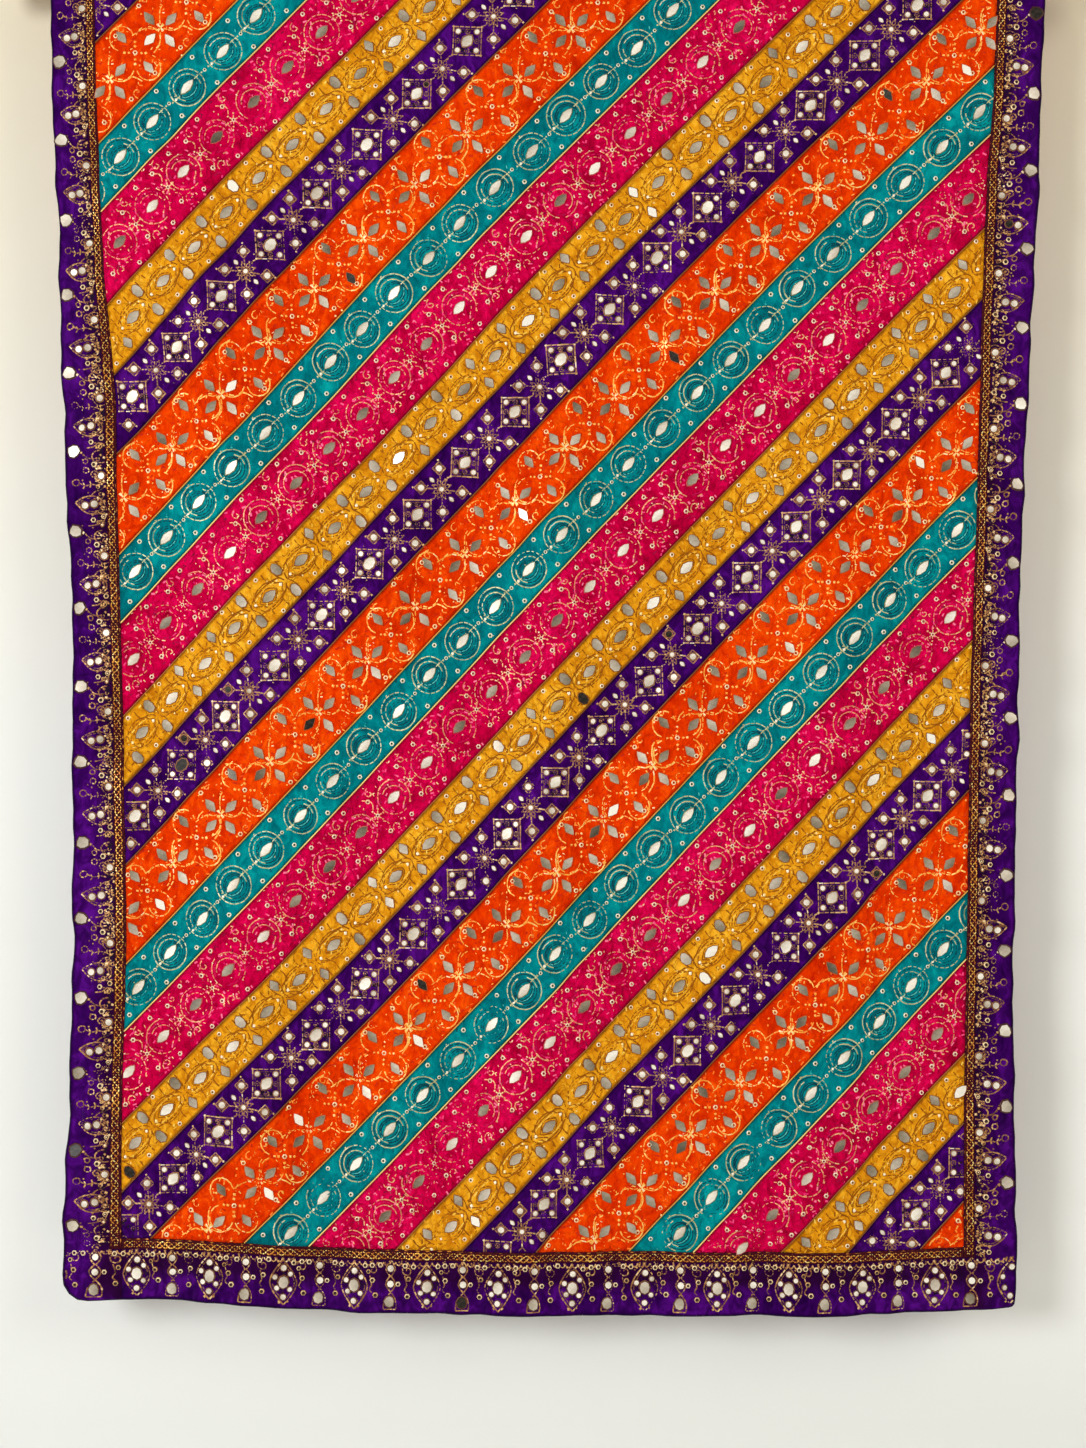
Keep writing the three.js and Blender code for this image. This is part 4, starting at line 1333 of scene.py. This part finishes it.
def add_mirrors(glass, thread, rows, rng):
    """Flat pieces of mirror, each held by a raised rim of thread."""
    count = len(rows)
    unit = OUTLINES[rows[:, 5].astype(int)] * rows[:, None, 2:4]
    c, s = np.cos(rows[:, 4])[:, None], np.sin(rows[:, 4])[:, None]
    x = unit[..., 0] * c - unit[..., 1] * s
    y = unit[..., 0] * s + unit[..., 1] * c
    reach = np.maximum(np.hypot(x, y), 1e-6)
    rim = rows[:, 7:8]
    scales = [(reach + share * rim) / reach for share in RIM_REACH]
    scales.append(np.full_like(reach, RIM_INSIDE))
    tilt = rng.normal(0, MIRROR_TILT, (count, 2, 1))
    stand = OUTER + MIRROR_STAND * rows[:, 2:3] + 0 * x
    lifts = [RIM_FOOT + 0 * x, stand + RIM_TOP, stand + RIM_LIP]
    rings = np.stack([np.stack([x * k, y * k, z], -1) for k, z in zip(scales, lifts)], 1)
    points = ring_places(rows[:, :2], rings)
    tint = np.repeat(rows[:, 8:9, None] * RIM_SHADES, MIRROR_SIDES, 2).reshape(-1)
    thread.add(points, ring_faces(count, 3, MIRROR_SIDES, closed=False), shade=tint)
    height = stand + GLASS_LIFT + tilt[:, 0] * x + tilt[:, 1] * y
    face = np.stack([x, y, height], -1)[:, None]
    # Painted reflection and tarnish: each mirror's shade, uneven from one to the next and lighter
    # to one side, with a few painted black and a few painted shining
    way = rng.uniform(0, TURN, (count, 1))
    shade = rows[:, 6:7] + rng.normal(0, MIRROR_REFLECTION_SPREAD, (count, 1))
    shade = shade + MIRROR_SHEEN * np.cos(np.arange(MIRROR_SIDES) * TURN / MIRROR_SIDES - way)
    catch = rng.uniform(size=(count, 1))
    shade = np.where(catch < DARK_MIRRORS, 0.02, np.where(catch > 1 - BRIGHT_MIRRORS, 1.0, shade))
    points = ring_places(rows[:, :2], face)
    local = np.stack([x, y], -1).reshape(-1, 2)
    shade = np.clip(shade, 0, 1).reshape(-1)
    glass.add(points, ring_faces(count, 1, MIRROR_SIDES), local=local, shade=shade)


# How far embroidery runs under the braid, and stays clear of the long edges and the hems
BRAID_TUCK, SIDE_MARGIN, HEM_MARGIN = 2, 1.2, 1.5


def strip_distance(line, after):
    def distance(rows):
        x, y = rows[:, 0], rows[:, 1]
        c = x + y
        return np.minimum.reduce([
            (c - line) / math.sqrt(2), (after - c) / math.sqrt(2),
            PANEL_HALF - np.abs(x), PANEL_FRONT - y, y - PANEL_BACK,
        ])
    return distance


def side_distance(sign):
    def distance(rows):
        out, y = sign * rows[:, 0] - PANEL_HALF, rows[:, 1]
        edge = SIDE_BORDER - corner_in(y, CORNER_RADIUS[sign]) - out
        corner = np.minimum(PANEL_FRONT + BRAID_WIDTH - y, y - PANEL_BACK + BRAID_WIDTH)
        return np.minimum.reduce([out - BRAID_WIDTH + BRAID_TUCK, edge - SIDE_MARGIN, corner])
    return distance


def end_distance(sign):
    def distance(rows):
        hem = sign * ((FRONT_END if sign > 0 else BACK_END) - rows[:, 1])
        out = END_BORDER - hem
        x = rows[:, 0]
        radius = np.where(x < 0, CORNER_RADIUS[-1], CORNER_RADIUS[1])
        side = HALF_WIDTH - corner_in(rows[:, 1], radius) - np.abs(x)
        inside = np.minimum(hem, side) - HEM_MARGIN
        return np.minimum(out - BRAID_WIDTH + BRAID_TUCK, inside)
    return distance


# Each strip's motif, the spacing of its repeats and where they start
MOTIFS = {
    "orange": (star_cell, 70, 0.35), "teal": (ring_cell, 47, 0.1), "pink": (rose_cell, 47, 0.6),
    "mustard": (leaf_cell, 46, 0.2), "purple": (square_cell, 68, 0.7),
}
SIDE_PITCH, SIDE_PHASE = 74, {-1: 35, 1: 64}
END_PITCH, END_PHASE, END_REPEATS = 73.5, -338, range(-2, 12)
VARIANTS = 4
# How far repeats start outside a strip, and how each strip's start and place, turn and size vary
REPEATS_OUT = 40
STRIP_SHIFT = 0.37
PLACE_STRAY, TURN_STRAY, SIZE_STRAY = 0.7, 0.02, 0.02
SIDE_STRAY, END_STRAY = 1.0, 0.8


def sewn_strips(rng):
    """The embroidery on every strip, by colour."""
    found = {name: {kind: [] for kind in Patch.KINDS} for name, _ in STRIPS}
    motifs = {
        name: [draw(100 * i + k) for k in range(VARIANTS)]
        for i, (name, (draw, _, _)) in enumerate(MOTIFS.items())
    }
    for name, number, line, after in strip_lines():
        _, pitch, phase = MOTIFS[name]
        patch = Patch(strip_distance(line, after))
        middle = (line + after) / 2
        left = max(-PANEL_HALF, middle - PANEL_FRONT) - REPEATS_OUT
        right = min(PANEL_HALF, middle - PANEL_BACK) + REPEATS_OUT
        step = pitch / math.sqrt(2)
        start = (math.floor(left / step) + (phase + STRIP_SHIFT * number) % 1) * step
        for x in np.arange(start, right, step):
            at = np.array([x, middle - x]) + rng.normal(0, PLACE_STRAY, 2)
            motif = motifs[name][rng.integers(VARIANTS)]
            patch.place(motif, at, rng.normal(0, TURN_STRAY), rng.normal(1, SIZE_STRAY))
        patch.settle_in(found[name])
    return found


def sewn_borders(rng):
    """The embroidery on the side and end borders."""
    found = {kind: [] for kind in Patch.KINDS}
    sides = [side_cell(700 + k) for k in range(VARIANTS)]
    ends = [end_cell(800 + k) for k in range(VARIANTS)]
    for sign in (-1, 1):
        patch = Patch(side_distance(sign))
        first = math.floor((BACK_END - SIDE_PHASE[sign]) / SIDE_PITCH)
        last = math.ceil((FRONT_END - SIDE_PHASE[sign]) / SIDE_PITCH)
        for k in range(first, last + 1):
            at = (sign * PANEL_HALF, SIDE_PHASE[sign] + k * SIDE_PITCH + rng.normal(0, SIDE_STRAY))
            patch.place(sides[rng.integers(VARIANTS)], at, 0.0, 1.0, sign)
        patch.settle_in(found)
        patch = Patch(end_distance(sign))
        seam = PANEL_FRONT if sign > 0 else PANEL_BACK
        for k in END_REPEATS:
            x = END_PHASE + k * END_PITCH + rng.normal(0, END_STRAY)
            turn = 0.0 if sign > 0 else math.pi
            patch.place(ends[rng.integers(VARIANTS)], (x * sign, seam), turn)
        patch.settle_in(found)
    return found


# The shades at which a thread's five tints stand
THREAD_STOPS = (0.0, 0.3, 0.62, 0.82, 1.0)


def thread(name, tints, metal=0.25, rough=0.42, gloss=0.4):
    """Thread or bead: the shade of each stitch picks its tint, from dark to pale."""
    look = Look(name)
    shade = look.node("Attribute", attribute_name="shade", give=2)
    tint = look.ramp(shade, *zip(THREAD_STOPS, tints))
    return look.finish(Base_Color=tint, Roughness=rough, Metallic=metal, Specular_IOR_Level=gloss)


GOLDS = {
    "orange": ((150, 40, 6), (214, 96, 12), (250, 162, 52), (254, 202, 102), (250, 234, 196)),
    "teal": ((54, 66, 46), (116, 122, 84), (196, 184, 128), (226, 208, 156), (250, 240, 220)),
    "pink": ((112, 14, 44), (186, 72, 76), (236, 164, 112), (242, 198, 142), (248, 234, 210)),
    "mustard": ((112, 56, 4), (160, 92, 16), (226, 166, 62), (246, 214, 130), (254, 244, 222)),
    "purple": ((28, 4, 22), (86, 40, 38), (166, 112, 68), (220, 176, 114), (252, 240, 212)),
    "borders": ((28, 4, 16), (72, 30, 22), (144, 90, 46), (212, 162, 92), (250, 228, 184)),
}
TONES = {
    "orange": ((186, 30, 2), (206, 44, 4), (240, 84, 14), (250, 112, 30), (252, 140, 50)),
    "teal": ((0, 54, 68), (0, 84, 96), (6, 138, 140), (50, 176, 170), (100, 200, 190)),
    "pink": ((132, 0, 46), (168, 0, 62), (226, 24, 100), (246, 78, 134), (252, 130, 160)),
    "mustard": ((132, 70, 2), (166, 96, 8), (214, 146, 26), (240, 184, 58), (250, 214, 100)),
    "purple": ((24, 3, 28), (44, 8, 50), (74, 18, 70), (104, 34, 80), (140, 60, 100)),
}
TONES["borders"] = TONES["purple"]
BRAID_TINTS = ((34, 4, 14), (124, 54, 14), (210, 128, 34), (242, 184, 70), (252, 228, 150))
HEM_TINTS = ((18, 0, 30), (40, 2, 66), (60, 10, 92), (120, 70, 130), (190, 150, 180))


# Mirror glass: the tint that each mirror's shade picks is painted reflection and tarnish
def mirror_glass():
    look = Look("mirror_glass")
    shade = look.node("Attribute", attribute_name="shade", give=2)
    cloudy = look.noise(look.place("local"), 260, 2, 0.6)
    value = look.math("ADD", shade, look.remap(cloudy, 0.3, 0.7, -0.05, 0.05))
    tint = look.ramp(
        value, (0.0, (30, 26, 22)), (0.3, (104, 94, 78)), (0.45, (140, 128, 108)),
        (0.62, (176, 164, 146)), (0.8, (210, 198, 180)), (1.0, (246, 240, 226)),
    )
    return look.finish(Base_Color=tint, Roughness=0.32, Metallic=0.1, Specular_IOR_Level=0.2)


def embroidery():
    rng = np.random.default_rng(5)
    glass = Shape()
    groups = dict(sewn_strips(rng))
    groups["borders"] = sewn_borders(rng)
    for name, kinds in groups.items():
        rows = {kind: np.concatenate(v) for kind, v in kinds.items()}
        gold = thread(f"gold_on_{name}", GOLDS[name])
        tone = thread(f"tone_on_{name}", TONES[name], 0.0, 0.7, 0.1)
        shape = Shape()
        add_stitches(shape, rows["stitches"])
        add_beads(shape, rows["beads"])
        add_mirrors(glass, shape, rows["mirrors"], rng)
        settle(shape.build(f"thread_{name}", gold))
        shape = Shape()
        add_stitches(shape, rows["tones"])
        settle(shape.build(f"tone_thread_{name}", tone))
    settle(glass.build("mirrors", mirror_glass(), smooth=False))


# The cord after each colour's strip: its width and shade. The near-black cords after the mustard
# and purple strips are dark thread and also painted shadow along the seam
SEAM_CORDS = {
    "orange": (1.5, 0.55), "teal": (1.6, 0.78), "pink": (1.4, 0.3), "mustard": (1.6, 0.05),
    "purple": (1.7, 0.1),
}


def seam_cords():
    """Thin cord along the seams between the strips."""
    shape = Shape()
    for name, _, _, c in strip_lines()[:-1]:
        left = max(-PANEL_HALF, c - PANEL_FRONT)
        right = min(PANEL_HALF, c - PANEL_BACK)
        width, shade = SEAM_CORDS[name]
        add_cord(shape, np.array([(left, c - left), (right, c - right)]), width, shade, 0.0)
    settle(shape.build("seam_cords", thread("seam_cord", GOLDS["mustard"])))


# The braid, by distance out from the seam: the ribbon's section, the cord along the seam, and the
# middle, reach and turning length of the plait with each cord's shade
RIBBON_PLACES = np.array([0, 0.8, 3.6, 6.4, 9.2, 10.0])
RIBBON_LIFTS = OUTER + np.array([0.15, 0.5, 0.55, 0.55, 0.5, 0.15])
EDGE_CORD_AT, EDGE_CORD_WIDTH, EDGE_CORD_SHADE = 1.0, 1.1, 0.62
PLAIT_MIDDLE, PLAIT_REACH, PLAIT_LENGTH = 5.7, 3.1, 18.4
PLAIT_SHADES = (0.56, 0.68, 0.86)
PLAIT_STITCH = (3.0, 0.0, 1.25)
PLAIT_STEP, PLAIT_END = 0.7, 2
ON_RIBBON = OUTER + 0.3


def braid(ribbon, chain, m, sign, upright):
    """One border's braid: a ribbon along its seam, and on it a cord and a plait of three."""
    if upright:
        seam, ends = PANEL_HALF, (PANEL_BACK - BRAID_WIDTH, PANEL_FRONT + BRAID_WIDTH)
    else:
        seam, ends = (PANEL_FRONT if sign > 0 else -PANEL_BACK), (-PANEL_HALF, PANEL_HALF)

    def place(out, v):
        out = sign * (seam + out)
        return (out, v) if upright else (v, out)

    offsets = RIBBON_PLACES[::sign]
    along = np.linspace(*ends, int((ends[1] - ends[0]) / CLOTH_CELL))
    if upright:
        out, v = np.meshgrid(offsets, along)
    else:
        v, out = np.meshgrid(along, offsets)
    lift = np.interp(out, RIBBON_PLACES, RIBBON_LIFTS)
    shell(ribbon, *place(out, v), lift, np.stack([out, v], -1), OUTER - 0.1)
    v = np.arange(ends[0] + PLAIT_END, ends[1] - PLAIT_END, PLAIT_STEP)
    for third, shade in enumerate(PLAIT_SHADES):
        out = PLAIT_MIDDLE + PLAIT_REACH * np.sin(TURN * (v / PLAIT_LENGTH + third / 3))
        m.sew(np.stack(place(out, v), 1), *PLAIT_STITCH, shade)
    line = np.stack(place(np.full(len(v), EDGE_CORD_AT), v), 1)
    add_cord(chain, line, EDGE_CORD_WIDTH, EDGE_CORD_SHADE, ON_RIBBON)


def braids():
    """A dark ribbon along each seam of the borders, with an open plait of gold cord."""
    ribbon, chain = Shape(), Shape()
    m = Motif(41)
    for sign in (-1, 1):
        braid(ribbon, chain, m, sign, True)
        braid(ribbon, chain, m, sign, False)
    add_stitches(chain, np.concatenate(m.stitches), ON_RIBBON)
    look = Look("braid_ribbon")
    tint = look.ramp(look.noise(look.place(), 600, 2), (0.35, (30, 2, 14)), (0.7, (84, 16, 26)))
    look.finish(Base_Color=tint, Roughness=0.8, Specular_IOR_Level=0.1)
    piece = ribbon.build("braid_ribbon", look.material)
    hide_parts("braid_left", "braid_right", "braid_front_end", "braid_back_end")
    settle(piece)
    gold = thread("braid_gold", BRAID_TINTS, metal=0.4, rough=0.36)
    settle(chain.build("braid_chain", gold))


# The rolled hem: its cord's width, shade and foot, and how far in from the edge it lies
HEM_WIDTH, HEM_SHADE, HEM_FOOT = 2.0, 0.1, -0.5
HEM_IN = 0.5


def hem():
    """The rolled hem all round the cloth."""
    shape = Shape()
    for sign in (-1, 1):
        y = np.arange(BACK_END, FRONT_END + 0.5, 1.0)
        x = sign * (HALF_WIDTH - corner_in(y, CORNER_RADIUS[sign]) - HEM_IN)
        add_cord(shape, np.stack([x, y], 1), HEM_WIDTH, HEM_SHADE, HEM_FOOT)
    for y in (FRONT_END - HEM_IN, BACK_END + HEM_IN):
        x = np.array([-HALF_WIDTH + CORNER_RADIUS[-1], HALF_WIDTH - CORNER_RADIUS[1]])
        add_cord(shape, np.stack([x, np.full(2, y)], 1), HEM_WIDTH, HEM_SHADE, HEM_FOOT)
    look = thread("hem_silk", HEM_TINTS, 0.0, 0.6, 0.2)
    settle(shape.build("rolled_hem", look))


embroidery()
seam_cords()
braids()
hem()


# The stage, in metres: a pale wall close behind, a pale floor, soft light and the camera
WALL_AT = 0.058
WALL_HALF, WALL_TOP = 4.0, 2.5
FLOOR_AT = -1.75
FLOOR_HALF = 14.0
# The heights between which the wall's painted light changes
WALL_LIGHT_LOW, WALL_LIGHT_HIGH = -1.45, 0.02
CAMERA_AT = (-0.0028, -2.225, -0.7074)
LENS, SENSOR = 58.06, 36
ROOM_LIGHT, ROOM_TINT = 0.39, (1.0, 0.95, 0.88, 1.0)
# Each lamp: place, the spot it lights, width, power and tint
LAMPS = {
    "key": ((-1.75, -2.6, -0.2), (0, 0, -0.62), 1.15, 53.5, (0.95, 0.98, 1.0)),
    "fill": ((2.05, -2.2, 0.45), (0.3, 0, -0.4), 2.0, 29.5, (1.0, 0.955, 0.87)),
    "back_light": ((1.2, 3.0, 0.4), (0, 0, -0.62), 2.0, 80, (1.0, 0.98, 0.95)),
}


def plane(name, corners, look):
    mesh = bpy.data.meshes.new(name)
    mesh.from_pydata(corners, [], [(0, 1, 2, 3)])
    mesh.materials.append(look)
    link(name, mesh)


def wall_look():
    """Pale paint with painted light: warmer towards the top and darker near the floor. It is seen
    through from behind so that it hides nothing.
    """
    look = Look("wall_paint_and_light", Roughness=0.9)
    _, height = look.split(look.node("TexCoord", give=3))
    # Painted light and shade: warmer towards the top, darker near the floor
    tint = look.ramp(
        look.remap(height, WALL_LIGHT_LOW, WALL_LIGHT_HIGH), (0.04, (231, 233, 230)),
        (0.16, (242, 243, 239)), (0.48, (245, 246, 242)), (1.0, (242, 231, 204)),
    )
    look.finish(Base_Color=tint)
    behind = look.node("NewGeometry", give=6)
    passing = look.node("LightPath", give=1)
    either = look.math("MAXIMUM", behind, passing)
    clear = look.node("BsdfTransparent")
    joined = look.node("MixShader", {0: either, 1: look.shader.outputs[0], 2: clear})
    look.tree.links.new(joined, look.tree.nodes["Material Output"].inputs[0])
    return look.material


def lamp(name, at, aim, size, power, tint):
    data = bpy.data.lights.new(name, "AREA")
    data.shape, data.size, data.energy, data.color = "DISK", size, power, tint
    piece = link(name, data)
    piece.location = at
    piece.rotation_mode = "QUATERNION"
    piece.rotation_quaternion = (Vector(aim) - Vector(at)).to_track_quat("-Z", "Y")


def room_light():
    back = bpy.data.worlds.new("studio")
    back.use_nodes = True
    bpy.context.scene.world = back
    shade = back.node_tree.nodes["Background"]
    shade.inputs["Color"].default_value = ROOM_TINT
    shade.inputs["Strength"].default_value = ROOM_LIGHT


corners = ((-1, -1), (1, -1), (1, 1), (-1, 1))
wall_ends = (FLOOR_AT, WALL_TOP)
plane("wall", [(x * WALL_HALF, WALL_AT, wall_ends[up > 0]) for x, up in corners], wall_look())
floor_look = Look("floor_paint", Roughness=0.8).finish(Base_Color=colour(226, 226, 222))
plane("floor", [(x * FLOOR_HALF, y * FLOOR_HALF, FLOOR_AT) for x, y in corners], floor_look)
room_light()
for name, values in LAMPS.items():
    lamp(name, *values)

eye = bpy.data.cameras.new("camera")
eye.lens, eye.sensor_width = LENS, SENSOR
camera = link("camera", eye)
camera.location = CAMERA_AT
camera.rotation_euler = (math.pi / 2, 0, 0)
bpy.context.scene.camera = camera
bpy.context.scene.view_settings.view_transform = "Standard"
